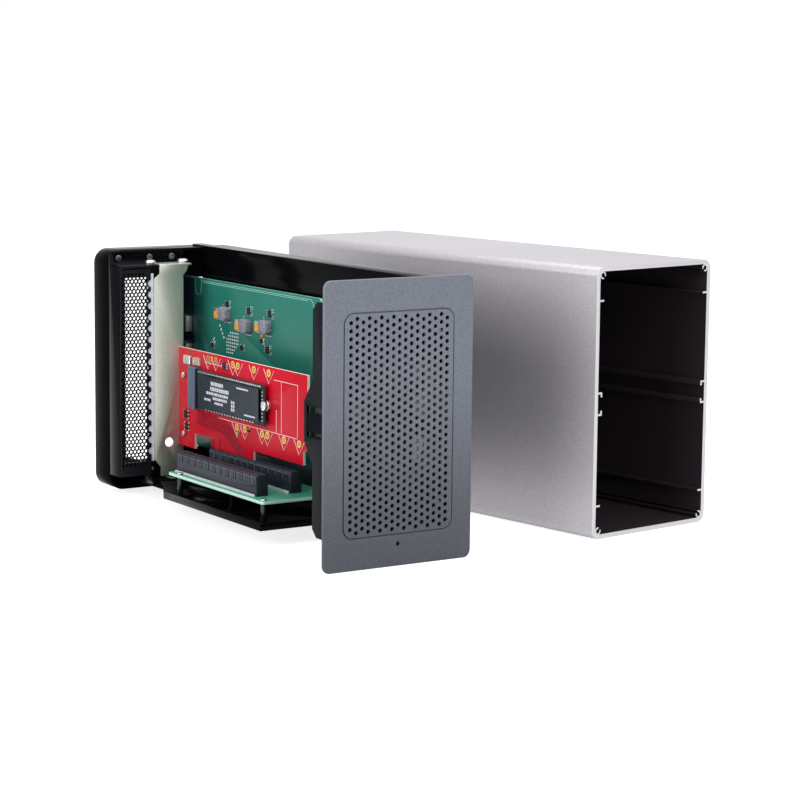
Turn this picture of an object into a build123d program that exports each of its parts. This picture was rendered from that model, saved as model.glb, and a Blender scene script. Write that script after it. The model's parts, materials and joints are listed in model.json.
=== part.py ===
from build123d import *
import os
from math import cos, pi, radians, sin, sqrt

# A PCI Express expansion enclosure taken apart: the drawer stands in front and its sleeve beside it.
# The bezel's front face lies at Y = 0, X = 0 is the middle of the drawer and Z = 0 is the floor.
# All sizes are in millimetres.

# Outer size of the closed enclosure
width = 86.0
height = 142.0
depth = 258.0
corner_radius = 5.0

# Sleeve: wall, guide ribs, latch rails and screw ports
sleeve_wall = 2.4
rib_length = 3.0
rib_thickness = 1.0
rib_inset = 15.1
rail_spacing = 12.2
rail_foot = 2.6
port_inset = 1.9
port_wall = 0.8
port_bore = 1.2
port_mouth = 1.5
slide_gap = 0.5
sleeve_x = 163.8
sleeve_y = 8.9
sleeve_turn = 8.3

# Bezel and its perforated field
bezel_thickness = 5.0
bezel_radius = 4.0
bezel_edge = 0.8
field_width = 64.6
field_height = 110.6
field_middle = 70.8
field_radius = 3.0
field_web = 1.5
groove_width = 0.7
groove_depth = 0.5
hole_columns = 17
hole_rows = 27
hole_pitch_x = 3.46
hole_pitch_z = 3.87
hole_radius = 1.1
light_height = 11.0
light_radius = 1.0

# Fan shroud and fan
shroud_below = 12.3
shroud_above = 9.3
shroud_back = 20.4
shroud_wall = 1.6
bulge_back = 28.5
bulge_height = 22.0
bulge_slope = 10.0
latch_back = 25.7
latch_low = 63.8
latch_high = 78.9
tongue_low = 66.2
tongue_high = 75.1
shroud_radius = 4.0
fan_gap = 0.5
fan_depth = 15.0
fan_rim = 1.4
fan_radius = 4.0
fan_hole_inset = 5.0
fan_hole = 2.15
motor_radius = 14.0
motor_plate = 2.4
strut_width = 3.0
hub_radius = 15.0
hub_wall = 1.6
blade_count = 7
blade_chord = 15.0
blade_thickness = 1.2
blade_tilt = 38.0
tip_gap = 1.6
shaft_radius = 1.5
shaft_clearance = 0.05
boss_radius = 4.0

# Sheet metal
sheet = 1.0
tray_near = -37.0
tray_low = 8.5
tray_beyond = 13.5
tray_notch_setback = 12.0
tray_rear_near = -25.0
tray_slant = 23.7
tray_lip = 3.0
wall_x = 24.0
flange_width = 11.5
flange_tab = 5.5
arm_share = 0.62
tab_width = 7.6

# Card slots
slot_pitch = 20.32
far_slot_x = 0.0
bracket_width = 18.42
bracket_foot = 1.1
bracket_sheet = 0.9
bracket_beyond = 2.32
bracket_neck = 10.2
bracket_taper = 5.0
tab_depth = 11.4
tab_beyond = 5.2
tab_setback = 3.6
cage_setback = 28.0
cage_near = -37.1
cage_right = 3.6
ledge_drop = 8.4
ledge_depth = 13.0
cage_low = 12.0

# Rear cap
cap_gap = 1.2
cap_floor_gap = 0.4
cap_beyond = 4.0
cap_wall = 2.0
cap_radius = 8.0

# Boards and connectors
board_thickness = 1.6
standoff_height = 9.6
standoff_radius = 1.6
post_screw_radius = 0.9
slot_board_near = -28.0
slot_board_right = 21.0
slot_board_before = 14.0
slot_board_behind = 2.0
connector_setback = 41.1
connector_length = 89.0
connector_width = 7.5
connector_height = 11.25
connector_slot = 8.45
connector_teeth = 12
card_clearance = 0.1
card_top = 84.2
card_length = 142.4
card_tab_length = 43.5
card_foot = 7.7
card_body_lift = 4.6
key_from_rear = 11.65
key_width = 1.9
drive_width = 22.0
drive_length = 80.0
drive_low = 52.6
drive_lift = 2.6
main_board_x = 19.0
main_board_drop = 17.2
main_board_low = 24.0
main_board_gap = 0.3
main_board_length = 154.8

# Fasteners
screw_radius = 1.45
bezel_screw_radius = 1.0
bezel_screw_head = 1.6
screw_clearance = 0.1
screw_head = 2.7
head_height = 1.4
cage_screw_head = 1.8
cage_head_height = 0.8

# Places worked out from the sizes above
half_width = width / 2
inner_half = half_width - sleeve_wall
inner_top = height - sleeve_wall
sleeve_length = depth - bezel_thickness
rail_middle = height / 2
rib_heights = (sleeve_wall + rib_inset, inner_top - rib_inset)
shroud_half = inner_half - rib_length - slide_gap
shroud_low = sleeve_wall + shroud_below
shroud_high = inner_top - shroud_above
shroud_plate_back = bezel_thickness + shroud_wall
fan_size = 2 * (shroud_half - shroud_wall - fan_gap)
fan_middle = (shroud_low + shroud_high) / 2 - 1.5
fan_bore = fan_size / 2 - fan_rim
fan_hole_spacing = fan_size - 2 * fan_hole_inset
fan_front = shroud_plate_back
fan_back = fan_front + fan_depth
cage_front = depth - cage_setback
upper_plane = cage_front + ledge_depth
cap_front = upper_plane
cap_back = depth + cap_beyond
cap_half = inner_half - rib_length - slide_gap
cap_low = sleeve_wall + cap_floor_gap
cap_high = inner_top - cap_gap
ledge_height = cap_high - ledge_drop
tray_top = tray_low + sheet
near_slot_x = far_slot_x - slot_pitch
bracket_front = cage_front - bracket_sheet
bracket_low = cage_low - bracket_foot
main_board_top = cap_high - main_board_drop
slot_board_low = tray_top + standoff_height
card_rear = bracket_front - 0.2
card_front = card_rear - card_length
connector_back = bracket_front - connector_setback
connector_front = connector_back - connector_length
slot_board_front = connector_front - slot_board_before
slot_board_back = connector_back + slot_board_behind
tray_front = slot_board_front - tray_beyond
tray_notch_back = slot_board_back - tray_notch_setback
main_board_back = cap_back - cap_wall - main_board_gap
main_board_front = main_board_back - main_board_length
slot_board_top = slot_board_low + board_thickness
connector_top = slot_board_top + connector_height
wall_front_x = wall_x - sheet
card_half = board_thickness / 2


def block(x, y, z):
    """A box from its lowest and highest value along each axis."""
    size = (x[1] - x[0], y[1] - y[0], z[1] - z[0])
    middle = ((x[0] + x[1]) / 2, (y[0] + y[1]) / 2, (z[0] + z[1]) / 2)
    return Pos(*middle) * Box(*size)


def rod_y(x, z, radius, y0, y1):
    """A round rod along Y."""
    return Pos(x, (y0 + y1) / 2, z) * Rot(90, 0, 0) * Cylinder(radius, y1 - y0)


def rod_x(y, z, radius, x0, x1):
    """A round rod along X."""
    return Pos((x0 + x1) / 2, y, z) * Rot(0, 90, 0) * Cylinder(radius, x1 - x0)


def rod_z(x, y, radius, z0, z1):
    """A round rod along Z."""
    return Pos(x, y, (z0 + z1) / 2) * Cylinder(radius, z1 - z0)


def plate_x(points, x0, x1):
    """A plate with the outline given as (Y, Z) points."""
    return extrude(Plane.YZ.offset(x0) * Polygon(*points, align=None), x1 - x0)


def plate_y(sketch, y0, y1):
    """A plate with its outline drawn in X and Z."""
    return extrude(Plane.XZ.offset(-y0) * sketch, -(y1 - y0))


def rounded(middle_x, middle_z, size_x, size_z, radius):
    """A rectangle with round corners, drawn in X and Z."""
    return Pos(middle_x, middle_z) * RectangleRounded(size_x, size_z, radius)


def staggered(columns, rows, pitch_x, pitch_z, middle_x, middle_z):
    """Centres of a staggered hole pattern: every second column has one hole more."""
    centres = []
    for i in range(columns):
        extra = i % 2
        count = rows + extra
        for j in range(count):
            x = middle_x + (i - (columns - 1) / 2) * pitch_x
            z = middle_z + (j - (count - 1) / 2) * pitch_z
            centres.append((x, z))
    return centres


def perforated(outline, centres, radius, y0, y1):
    """A plate in X and Z with four-sided holes as large as round ones of this radius."""
    reach = radius * sqrt(pi / 2)
    wires = []
    for x, z in centres:
        corners = [(x + reach, y0, z), (x, y0, z + reach), (x - reach, y0, z), (x, y0, z - reach)]
        wires.append(Wire.make_polygon([Vector(*c) for c in corners], close=True))
    outer = (Plane.XZ.offset(-y0) * outline).face().outer_wire()
    return extrude(Face(outer, wires), amount=y1 - y0, dir=(0, 1, 0))


def sleeve():
    """Extruded sleeve with guide ribs, latch rails and C-shaped screw ports."""
    inner_width = 2 * inner_half
    inner_height = height - 2 * sleeve_wall
    inner_radius = corner_radius - sleeve_wall
    inside = rounded(0, rail_middle, inner_width, inner_height, inner_radius)
    profile = rounded(0, rail_middle, width, height, corner_radius) - inside
    port_outer = port_bore + port_wall
    for side in (-1, 1):
        x = side * (inner_half - rib_length / 2 + sleeve_wall / 4)
        rib = rib_length + sleeve_wall / 2
        for z in rib_heights:
            profile += Pos(x, z) * Rectangle(rib, rib_thickness)
        for way in (-1, 1):
            web = rail_middle + way * (rail_spacing - rib_thickness) / 2
            foot_x = side * (inner_half - rib_length + rib_thickness / 2)
            foot_z = rail_middle + way * (rail_spacing - rail_foot) / 2
            profile += Pos(x, web) * Rectangle(rib, rib_thickness)
            profile += Pos(foot_x, foot_z) * Rectangle(rib_thickness, rail_foot)
            port_x = side * (inner_half - port_inset)
            port_z = rail_middle + way * (inner_height / 2 - port_inset)
            mouth = Pos(port_x - side * port_outer / 2, port_z - way * port_outer / 2)
            profile += Pos(port_x, port_z) * Circle(port_outer)
            profile -= Pos(port_x, port_z) * Circle(port_bore)
            profile -= mouth * Rot(0, 0, side * way * 45) * Rectangle(port_outer * 1.4, port_mouth)
    body = plate_y(profile, 0, sleeve_length)
    return Pos(sleeve_x, sleeve_y, 0) * Rot(0, 0, sleeve_turn) * body


def bezel():
    """Front plate with the grille field thinned from behind and outlined by a groove."""
    frame = plate_y(rounded(0, rail_middle, width, height, bezel_radius), 0, bezel_thickness)
    frame = fillet(frame.faces().sort_by(Axis.Y)[0].edges(), bezel_edge)
    field = rounded(0, field_middle, field_width, field_height, field_radius)
    frame -= plate_y(field, -1, bezel_thickness + 1)
    for x, z in bezel_screw_places():
        frame -= rod_y(x, z, bezel_screw_radius + screw_clearance, field_web, bezel_thickness + 1)
    frame -= rod_y(0, light_height, light_radius, -1, bezel_thickness + 1)
    centres = staggered(hole_columns, hole_rows, hole_pitch_x, hole_pitch_z, 0, field_middle)
    web = perforated(field, centres, hole_radius, 0, field_web)
    wide = rounded(0, field_middle, field_width + groove_width, field_height + groove_width, field_radius)
    slim = rounded(0, field_middle, field_width - groove_width, field_height - groove_width, field_radius)
    return frame + web - plate_y(wide - slim, -1, groove_depth)


def fan_rooms():
    """Heights of the rooms below and above the fan, inside the shroud."""
    below = (shroud_low + shroud_wall, fan_middle - fan_size / 2)
    above = (fan_middle + fan_size / 2, shroud_high - shroud_wall)
    return (below, above)


def bezel_screw_places():
    """Where the shroud is screwed to the bezel, in X and Z."""
    x = field_width / 2 + bezel_screw_radius + 0.4
    rooms = fan_rooms()
    return [(side * x, (low + high) / 2) for side in (-1, 1) for low, high in rooms]


def bezel_screws():
    """Four short screws through the shroud's plate into the bezel."""
    group = []
    for x, z in bezel_screw_places():
        shank = rod_y(x, z, bezel_screw_radius, field_web + 0.5, shroud_plate_back)
        group.append(shank + rod_y(x, z, bezel_screw_head, shroud_plate_back, shroud_plate_back + 1.0))
    return Compound(group)


def light_pipe():
    """Clear pipe that carries the status light through the bezel."""
    stem = rod_y(0, light_height, light_radius - 0.05, 0.2, bezel_thickness)
    return stem + rod_y(0, light_height, 2 * light_radius, bezel_thickness, bezel_thickness + sheet)


def led_board():
    """Small board with the status light, hung under the shroud."""
    front = bezel_thickness + sheet
    board = block((-7, 7), (front, front + sheet), (light_height - 3.5, shroud_low))
    return board + block((2.5, 5.5), (front + sheet, front + 3 * sheet), (light_height - 2, light_height + 2))


def shroud_side():
    """Side outline of the shroud in Y and Z, with the latch bulge."""
    half = bulge_height / 2
    low = rail_middle - half
    high = rail_middle + half
    return [
        (bezel_thickness, shroud_low),
        (shroud_back - shroud_radius, shroud_low),
        (shroud_back, shroud_low + shroud_radius),
        (shroud_back, low - bulge_slope),
        (bulge_back - 1, low),
        (bulge_back, low + 1),
        (bulge_back, high - 1),
        (bulge_back - 1, high),
        (shroud_back, high + bulge_slope),
        (shroud_back, shroud_high - shroud_radius),
        (shroud_back - shroud_radius, shroud_high),
        (bezel_thickness, shroud_high),
    ]


def fan_shroud():
    """Moulded frame behind the bezel that holds the fan, with a snap latch on each side."""
    body = plate_x(shroud_side(), -shroud_half, shroud_half)
    inner = shroud_half - shroud_wall
    low = shroud_low + shroud_wall
    high = shroud_high - shroud_wall
    body -= block((-inner, inner), (shroud_plate_back, bulge_back + 1), (low, high))
    body -= rod_y(0, fan_middle, fan_bore, 0, bulge_back)
    for x, z in fan_hole_places():
        body -= rod_y(x, z, fan_hole - 0.15, 0, bulge_back)
    for x, z in bezel_screw_places():
        body -= rod_y(x, z, bezel_screw_radius + screw_clearance, 0, bulge_back)
    for x, z in front_screw_places():
        body -= rod_y(x, z, screw_radius + screw_clearance, 0, bulge_back)
    # On each side a window with the latch tongue in it, rooted at the window's rear edge
    for side in (-1, 1):
        cut_x = sorted((side * (inner - 1), side * (shroud_half + 1)))
        body -= block(cut_x, (shroud_plate_back + 1, latch_back), (latch_low, latch_high))
        tongue_x = sorted((side * (inner + 0.2), side * (shroud_half - 0.3)))
        body += block(tongue_x, (shroud_plate_back + 2, latch_back + 0.5), (tongue_low, tongue_high))
        hook_x = sorted((side * (inner - 1.2), side * (inner + 0.4)))
        body += block(hook_x, (latch_back - 3, latch_back), (tongue_low + 1, tongue_high - 1))
    return body


def fan_hole_places():
    """Centres of the fan's corner holes in X and Z."""
    half = fan_hole_spacing / 2
    return [(sx * half, fan_middle + sz * half) for sx in (-1, 1) for sz in (-1, 1)]


def fan_frame():
    """Square fan housing with a round duct, three struts and the bearing boss."""
    body = plate_y(rounded(0, fan_middle, fan_size, fan_size, fan_radius), fan_front, fan_back)
    body -= rod_y(0, fan_middle, fan_bore, fan_front - 1, fan_back + 1)
    for x, z in fan_hole_places():
        body -= rod_y(x, z, fan_hole, fan_front - 1, fan_back + 1)
    plate_front = fan_back - motor_plate
    for turn in (20, 140, 260):
        strut = block((0, fan_bore + 0.8), (plate_front, fan_back), (-strut_width / 2, strut_width / 2))
        body += Pos(0, 0, fan_middle) * Rot(0, turn, 0) * strut
    body += rod_y(0, fan_middle, motor_radius, plate_front, fan_back)
    body += rod_y(0, fan_middle, boss_radius, fan_front + 5, plate_front)
    body -= rod_y(0, fan_middle, shaft_radius + shaft_clearance, fan_front, fan_back - 0.8)
    return body


def fan_rotor():
    """Fan wheel: cup hub, twisted blades and the shaft that runs in the bearing boss."""
    hub_front = fan_front + 1.0
    hub_back = fan_back - motor_plate - 0.8
    body = rod_y(0, fan_middle, hub_radius, hub_front, hub_back)
    body -= rod_y(0, fan_middle, hub_radius - hub_wall, hub_front + hub_wall, hub_back + 1)
    body += rod_y(0, fan_middle, shaft_radius, hub_front, fan_back - 1.2)
    root = hub_radius - hub_wall / 2
    tip = sqrt((fan_bore - tip_gap) ** 2 - (blade_chord * cos(radians(blade_tilt)) / 2) ** 2)
    middle_y = (hub_front + hub_back) / 2
    for i in range(blade_count):
        foot = Plane(origin=(0, 0, root), x_dir=(1, 0, 0), z_dir=(0, 0, 1))
        end = Plane(origin=(0, 0, tip), x_dir=(1, 0, 0), z_dir=(0, 0, 1))
        low = foot * Rot(0, 0, blade_tilt + 12) * Rectangle(blade_chord * 0.75, blade_thickness)
        high = end * Rot(0, 0, blade_tilt - 6) * Rectangle(blade_chord * 0.85, blade_thickness)
        blade = loft([low.face(), high.face()])
        body += Pos(0, middle_y, fan_middle) * Rot(0, 360 / blade_count * i, 0) * blade
    return body


def fan_screws():
    """Four long screws through the fan's corners into the shroud's plate."""
    group = []
    for x, z in fan_hole_places():
        shank = rod_y(x, z, fan_hole - 0.3, bezel_thickness + 0.4, fan_back)
        group.append(shank + rod_y(x, z, fan_hole + 1.2, fan_back, fan_back + head_height))
    return Compound(group)


def front_screw_places():
    """Where the sheet's front tabs are screwed to the shroud, in X and Z."""
    x = wall_x + tab_width / 2 + 0.5
    return [(x, (arm_heights()[0] + arm_heights()[1]) / 2), (x, (arm_heights()[2] + arm_heights()[3]) / 2)]


def arm_heights():
    """Lower and upper edge of the lower arm, then of the upper arm."""
    below, above = fan_rooms()
    spare_below = (1 - arm_share) * (below[1] - below[0])
    spare_above = (1 - arm_share) * (above[1] - above[0])
    low = (below[0] + 0.8 * spare_below, below[1] - 0.2 * spare_below)
    return low + (above[0] + 0.2 * spare_above, above[1] - 0.8 * spare_above)


def chassis():
    """One folded sheet: tray with lips, upright wall with a top flange, and two arms to the shroud."""
    wall_start = fan_back + 2.0
    low_a, low_b, high_a, high_b = arm_heights()
    wall = plate_x(
        [
            (wall_start, tray_low), (cap_front - 0.2, tray_low), (cap_front - 0.2, cap_high + sheet),
            (wall_start, cap_high + sheet), (wall_start, high_b), (shroud_plate_back, high_b),
            (shroud_plate_back, high_a), (wall_start, high_a), (wall_start, low_b),
            (shroud_plate_back, low_b), (shroud_plate_back, low_a), (wall_start, low_a),
        ],
        wall_front_x, wall_x,
    )
    top_z = (cap_high, cap_high + sheet)
    body = wall + block((wall_front_x, wall_x + flange_width), (wall_start, cap_front - 0.2), top_z)
    body += block((wall_front_x, wall_x + flange_tab), (cap_front - 0.2, cap_back - 5), top_z)
    for low, high in ((low_a, low_b), (high_a, high_b)):
        tab_y = (shroud_plate_back, shroud_plate_back + sheet)
        body += block((wall_front_x, wall_x + tab_width), tab_y, (low, high))
    floor_z = (tray_low, tray_top)
    lip_z = (tray_low, tray_top + tray_lip)
    outline = [
        (tray_near, tray_front), (wall_x, tray_front), (wall_x, cap_front - 0.2),
        (tray_rear_near, cap_front - 0.2), (tray_rear_near, tray_notch_back + tray_slant),
        (tray_near, tray_notch_back),
    ]
    body += extrude(Plane.XY.offset(tray_low) * Polygon(*outline, align=None), sheet)
    body += block((tray_rear_near + 11, wall_x - 8), (cap_front - 0.2, cap_back - cap_wall - 1), floor_z)
    body += block((tray_near, tray_near + sheet), (tray_front, tray_notch_back), lip_z)
    body += block((tray_near, wall_x), (tray_front, tray_front + sheet), lip_z)
    for i in range(3):
        y = tray_front + 34 + 7 * i
        body -= block((tray_near + 14, tray_near + 30), (y, y + 2.4), (tray_low - 1, tray_top + 1))
    for x, y in tray_screw_places():
        body -= rod_z(x, y, screw_radius + screw_clearance, tray_low - 1, tray_top + 1)
    for x, z in front_screw_places():
        body -= rod_y(x, z, screw_radius + screw_clearance, shroud_plate_back - 1, shroud_plate_back + 2)
    x, y = flange_screw_place()
    return body - rod_z(x, y, screw_radius + screw_clearance, cap_high - 1, cap_high + 2)


def tray_screw_places():
    """Where the tray is screwed to the rear cap's posts, in X and Y."""
    y = (cap_front + cap_back - cap_wall) / 2
    return [(tray_rear_near + 16, y), (wall_x - 13, y)]


def flange_screw_place():
    """Where the top flange is screwed to the rear cap, in X and Y."""
    return (wall_x + flange_tab / 2 - 0.2, (cap_front + cap_back) / 2)


def chassis_screws():
    """Screws of the folded sheet, at the shroud and at the rear cap."""
    group = []
    back = shroud_plate_back + sheet
    for x, z in front_screw_places():
        shank = rod_y(x, z, screw_radius, bezel_thickness + 0.4, back)
        group.append(shank + rod_y(x, z, screw_head, back, back + head_height))
    for x, y in tray_screw_places():
        shank = rod_z(x, y, screw_radius, cap_low + 1, tray_top)
        group.append(shank + rod_z(x, y, screw_head, tray_top, tray_top + head_height))
    x, y = flange_screw_place()
    group.append(rod_z(x, y, screw_radius, cap_high - cap_wall, cap_high + sheet))
    return Compound(group)


def slot_windows():
    """Windows behind the two card brackets, drawn in X and Z."""
    windows = Sketch()
    for slot_x in (near_slot_x, far_slot_x):
        middle = slot_x + bracket_beyond - bracket_width / 2
        middle_z = (cage_low + ledge_height) / 2
        windows += Pos(middle, middle_z + 1) * Rectangle(bracket_width - 4.4, ledge_height - cage_low - 14)
    return windows


def cage_screw_places():
    """Screws of the slot cage in X and Z: three above the ledge, one low between the slots."""
    z = ledge_height + 4.2
    low = (near_slot_x + bracket_beyond + 0.9, cage_low + 3.4)
    return [(-31.8, z), (-12.4, z), (1.5, z)], low


def slot_cage():
    """Folded sheet with two slot windows, side flanges, the screw ledge and an upper wall."""
    front = plate_y(Pos(0, 0) * slot_windows(), cage_front - 1, cage_front + 2)
    back = cage_front + sheet
    body = block((cage_near, cage_right), (cage_front, back), (cage_low, ledge_height)) - front
    tab_right = far_slot_x + bracket_beyond + tab_beyond + 1.2
    body += block((cage_near, cage_near + sheet), (cage_front, cap_front), (cage_low, ledge_height))
    body += block((cage_right - sheet, cage_right), (cage_front, cap_front), (cage_low, ledge_height))
    body += block((cage_near, tab_right), (cage_front, cap_front), (ledge_height - sheet, ledge_height))
    upper_z = (ledge_height - sheet, cap_high - 0.2)
    body += block((cage_near, tab_right), (cap_front - sheet, cap_front), upper_z)
    upper, low = cage_screw_places()
    for x, z in upper:
        body -= rod_y(x, z, screw_radius + screw_clearance, cap_front - 2, cap_front + 1)
    body -= rod_y(low[0], low[1], screw_radius + screw_clearance, cage_front - 1, cage_front + 2)
    for x in bracket_screw_places():
        body -= rod_z(x, ledge_screw_y(), screw_radius + screw_clearance, ledge_height - 2, ledge_height + 1)
    return body


def ledge_screw_y():
    """The bracket screws' place along Y."""
    return cage_front + 5.6


def bracket_screw_places():
    """The bracket screws' places along X, one for each slot."""
    return [x + bracket_beyond + tab_beyond - 2.3 for x in (near_slot_x, far_slot_x)]


def cage_screws():
    """Screws that hold the slot cage to the rear cap's posts."""
    group = []
    upper, low = cage_screw_places()
    face = cap_front - sheet
    for x, z in upper:
        shank = rod_y(x, z, screw_radius, face, cap_front + 6)
        group.append(shank + rod_y(x, z, cage_screw_head, face - cage_head_height, face))
    shank = rod_y(low[0], low[1], screw_radius, cage_front, cage_front + 6)
    group.append(shank + rod_y(low[0], low[1], 0.85, cage_front - head_height, cage_front))
    return Compound(group)


def bracket_outline(slot_x):
    """Blade of a card bracket in X and Z, with its tapers and its foot tongue."""
    left = slot_x + bracket_beyond - bracket_width
    right = slot_x + bracket_beyond
    top = ledge_height + bracket_sheet
    shoulder = top - 5.2
    foot = bracket_low + bracket_taper
    tongue_left = (left + right - bracket_neck) / 2
    tongue_right = (left + right + bracket_neck) / 2
    points = [
        (tongue_left, bracket_low), (tongue_right, bracket_low), (tongue_right, foot),
        (right, foot + bracket_taper), (right, top - 6.4), (right + 2.0, top - 4.4), (right + 3.0, top - 1.8),
        (right + 3.0, top), (left + tab_setback, top), (left + tab_setback, shoulder),
        (left, shoulder - 2.8), (left, foot + bracket_taper), (tongue_left, foot),
    ]
    return Polygon(*points, align=None)


def bracket_tab(slot_x):
    """The tab that lies on the ledge, with a notch for the screw."""
    left = slot_x + bracket_beyond - bracket_width + tab_setback
    right = slot_x + bracket_beyond + tab_beyond
    z = (ledge_height, ledge_height + bracket_sheet)
    tab = block((left, right), (bracket_front, cage_front + tab_depth), z)
    x = slot_x + bracket_beyond + tab_beyond - 2.3
    tab -= rod_z(x, ledge_screw_y(), screw_radius + 0.3, ledge_height - 1, ledge_height + 2)
    return tab - block((x, right + 1), (ledge_screw_y() - 1.75, ledge_screw_y() + 1.75), (z[0] - 1, z[1] + 1))


def slot_cover():
    """Perforated blank cover of the near slot, with a scalloped right edge."""
    blade = plate_y(bracket_outline(near_slot_x), bracket_front, cage_front)
    middle = near_slot_x + bracket_beyond - bracket_width / 2
    rows = int((ledge_height - cage_low - 14) / 3.9)
    centres = staggered(5, rows, 3.1, 3.9, middle - 0.9, (cage_low + ledge_height) / 2 + 1)
    reach = 1.25
    holes = Sketch()
    for x, z in centres:
        holes += Pos(x, z) * Rot(0, 0, 45) * Rectangle(reach * 1.5, reach * 1.5)
    for i in range(int((ledge_height - cage_low - 17) / 6.3)):
        z = cage_low + 16 + i * 6.3
        holes += Pos(near_slot_x + bracket_beyond - 0.2, z) * Rot(0, 0, 45) * Rectangle(3.0, 3.0)
    blade -= plate_y(holes, bracket_front - 1, cage_front + 1)
    return blade + bracket_tab(near_slot_x)


def card_bracket():
    """Steel bracket of the adapter card, with a round hole and two lugs behind the card."""
    blade = plate_y(bracket_outline(far_slot_x), bracket_front, cage_front)
    middle = far_slot_x + bracket_beyond - bracket_width / 2
    blade -= rod_y(middle, 30.0, 2.6, bracket_front - 1, cage_front + 1)
    lug_x = (far_slot_x + card_half, far_slot_x + card_half + bracket_sheet)
    for z in (40.0, 72.0):
        blade += block(lug_x, (bracket_front - 8, bracket_front), (z, z + 8))
    return blade + bracket_tab(far_slot_x)


def bracket_screws():
    """Dome-headed screws that clamp the bracket tabs to the ledge."""
    group = []
    seat = ledge_height + bracket_sheet
    for x in bracket_screw_places():
        shank = rod_z(x, ledge_screw_y(), screw_radius, ledge_height - 5, seat)
        head = rod_z(x, ledge_screw_y(), 3.2, seat, seat + 2.2)
        head = chamfer(head.faces().sort_by(Axis.Z)[-1].edges(), 1.0)
        group.append(shank + head)
    return Compound(group)


def rear_cap():
    """Rear housing: rim that clears the sleeve's ribs, back plate with card window, ports and vents."""
    size_x = 2 * cap_half
    size_z = cap_high - cap_low
    middle_z = (cap_high + cap_low) / 2
    outer = rounded(0, middle_z, size_x, size_z, cap_radius)
    inner = rounded(0, middle_z, size_x - 2 * cap_wall, size_z - 2 * cap_wall, cap_radius - cap_wall)
    inside = cap_back - cap_wall
    body = plate_y(outer, cap_front, cap_back) - plate_y(inner, cap_front - 1, inside)
    low_z = cage_low + 3
    high_z = ledge_height - 5
    for low_x, high_x in ((cage_near + 2.6, -22.0), (-18.8, -4.5)):
        window = rounded((low_x + high_x) / 2, (low_z + high_z) / 2, high_x - low_x, high_z - low_z, 2)
        body -= plate_y(window, inside - 1, cap_back + 1)
    body -= plate_y(rounded(10, 24.5, 12, 13, 2), inside - 1, cap_back + 1)
    for z in data_port_heights():
        half = port_half_height() + 0.3
        port_x = (main_board_x - data_port_lift() - 0.3, main_board_x + 0.3)
        body -= block(port_x, (inside - 1, cap_back + 1), (z - half, z + half))
    x, z = power_jack_place()
    body -= rod_y(x, z, power_jack_radius() + 0.4, inside - 1, cap_back + 1)
    for i in range(14):
        z = 22.0 + 7.4 * i
        body -= block((25, 32), (inside - 1, cap_back + 1), (z - 1.5, z + 1.5))
    upper, low = cage_screw_places()
    for x, z in upper + [low]:
        front = cap_front if z > ledge_height else cage_front + sheet
        body += rod_y(x, z, 3.0 if z > ledge_height else 2.4, front, inside)
        body -= rod_y(x, z, screw_radius + screw_clearance, front - 1, front + 7)
    # A rib ties the low post to the cap's floor
    body += block((low[0] - 0.8, low[0] + 0.8), (cap_front, inside), (cap_low + 0.5, low[1] - 2))
    for x, y in tray_screw_places():
        body += rod_z(x, y, 3.4, cap_low + 0.5, tray_low)
        body -= rod_z(x, y, screw_radius + screw_clearance, cap_low + 0.8, tray_low + 1)
    x, y = flange_screw_place()
    return body - rod_z(x, y, screw_radius + screw_clearance, cap_high - cap_wall - 1, cap_high + 1)


def slot_board():
    """Riser board that carries the card connectors."""
    board_y = (slot_board_front, slot_board_back)
    board = block((slot_board_near, slot_board_right), board_y, (slot_board_low, slot_board_top))
    board = fillet(board.edges().filter_by(Axis.Z), 1.5)
    for x, y in standoff_places():
        board -= rod_z(x, y, post_screw_radius + screw_clearance, slot_board_low - 1, slot_board_top + 1)
    return board


def standoff_places():
    """Posts under the riser board, in X and Y."""
    front = slot_board_front + 2.6
    back = tray_notch_back + 1.4
    near = slot_board_near + 2.0
    right = far_slot_x + connector_width / 2 + 5
    return [(near, front), (near, back), (right, front), (right, back)]


def board_standoffs():
    """Posts between the tray and the riser board, and one thin support pin."""
    group = []
    for x, y in standoff_places():
        post = rod_z(x, y, standoff_radius, tray_top, slot_board_low)
        hole = post_screw_radius + screw_clearance
        group.append(post - rod_z(x, y, hole, slot_board_low - 6, slot_board_low + 1))
    middle = (near_slot_x + far_slot_x) / 2
    group.append(rod_z(middle, slot_board_back - 39.5, 0.9, tray_top, slot_board_low))
    return Compound(group)


def board_screws():
    """Screws on the riser board."""
    group = []
    for x, y in standoff_places():
        shank = rod_z(x, y, post_screw_radius, slot_board_low - 4, slot_board_top)
        group.append(shank + rod_z(x, y, 1.7, slot_board_top, slot_board_top + 1.0))
    return Compound(group)


def slot_connector(slot_x):
    """A x16 card connector with a stepped top edge, the card slot and its key."""
    half = connector_width / 2
    z = (slot_board_top, connector_top)
    body = block((slot_x - half, slot_x + half), (connector_front, connector_back), z)
    body = chamfer(body.faces().sort_by(Axis.Z)[-1].edges().filter_by(Axis.Y), 1.2)
    pitch = connector_length / connector_teeth
    for i in range(connector_teeth + 1):
        y = connector_front + i * pitch
        for side in (-1, 1):
            x = sorted((slot_x + side * (half - 0.7), slot_x + side * (half + 1)))
            body -= block(x, (y - 0.45, y + 0.45), (connector_top - 5.2, connector_top + 1))
    for side in (-1, 1):
        x = sorted((slot_x + side * (half - 0.35), slot_x + side * (half + 1)))
        body -= block(x, (connector_front - 1, connector_back + 1), (z[0] - 1, connector_top - 5.2))
    gap = card_half + card_clearance
    slot_y = (connector_front + 1.5, card_tab_rear() + card_clearance)
    body -= block((slot_x - gap, slot_x + gap), slot_y, (connector_top - connector_slot, connector_top + 1))
    key = key_range(card_clearance)
    key_z = (connector_top - connector_slot, connector_top - 1.5)
    return body + block((slot_x - gap, slot_x + gap), key, key_z)


def card_tab_rear():
    """Rear end of a card's contact tab."""
    return connector_back - 1.6


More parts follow.
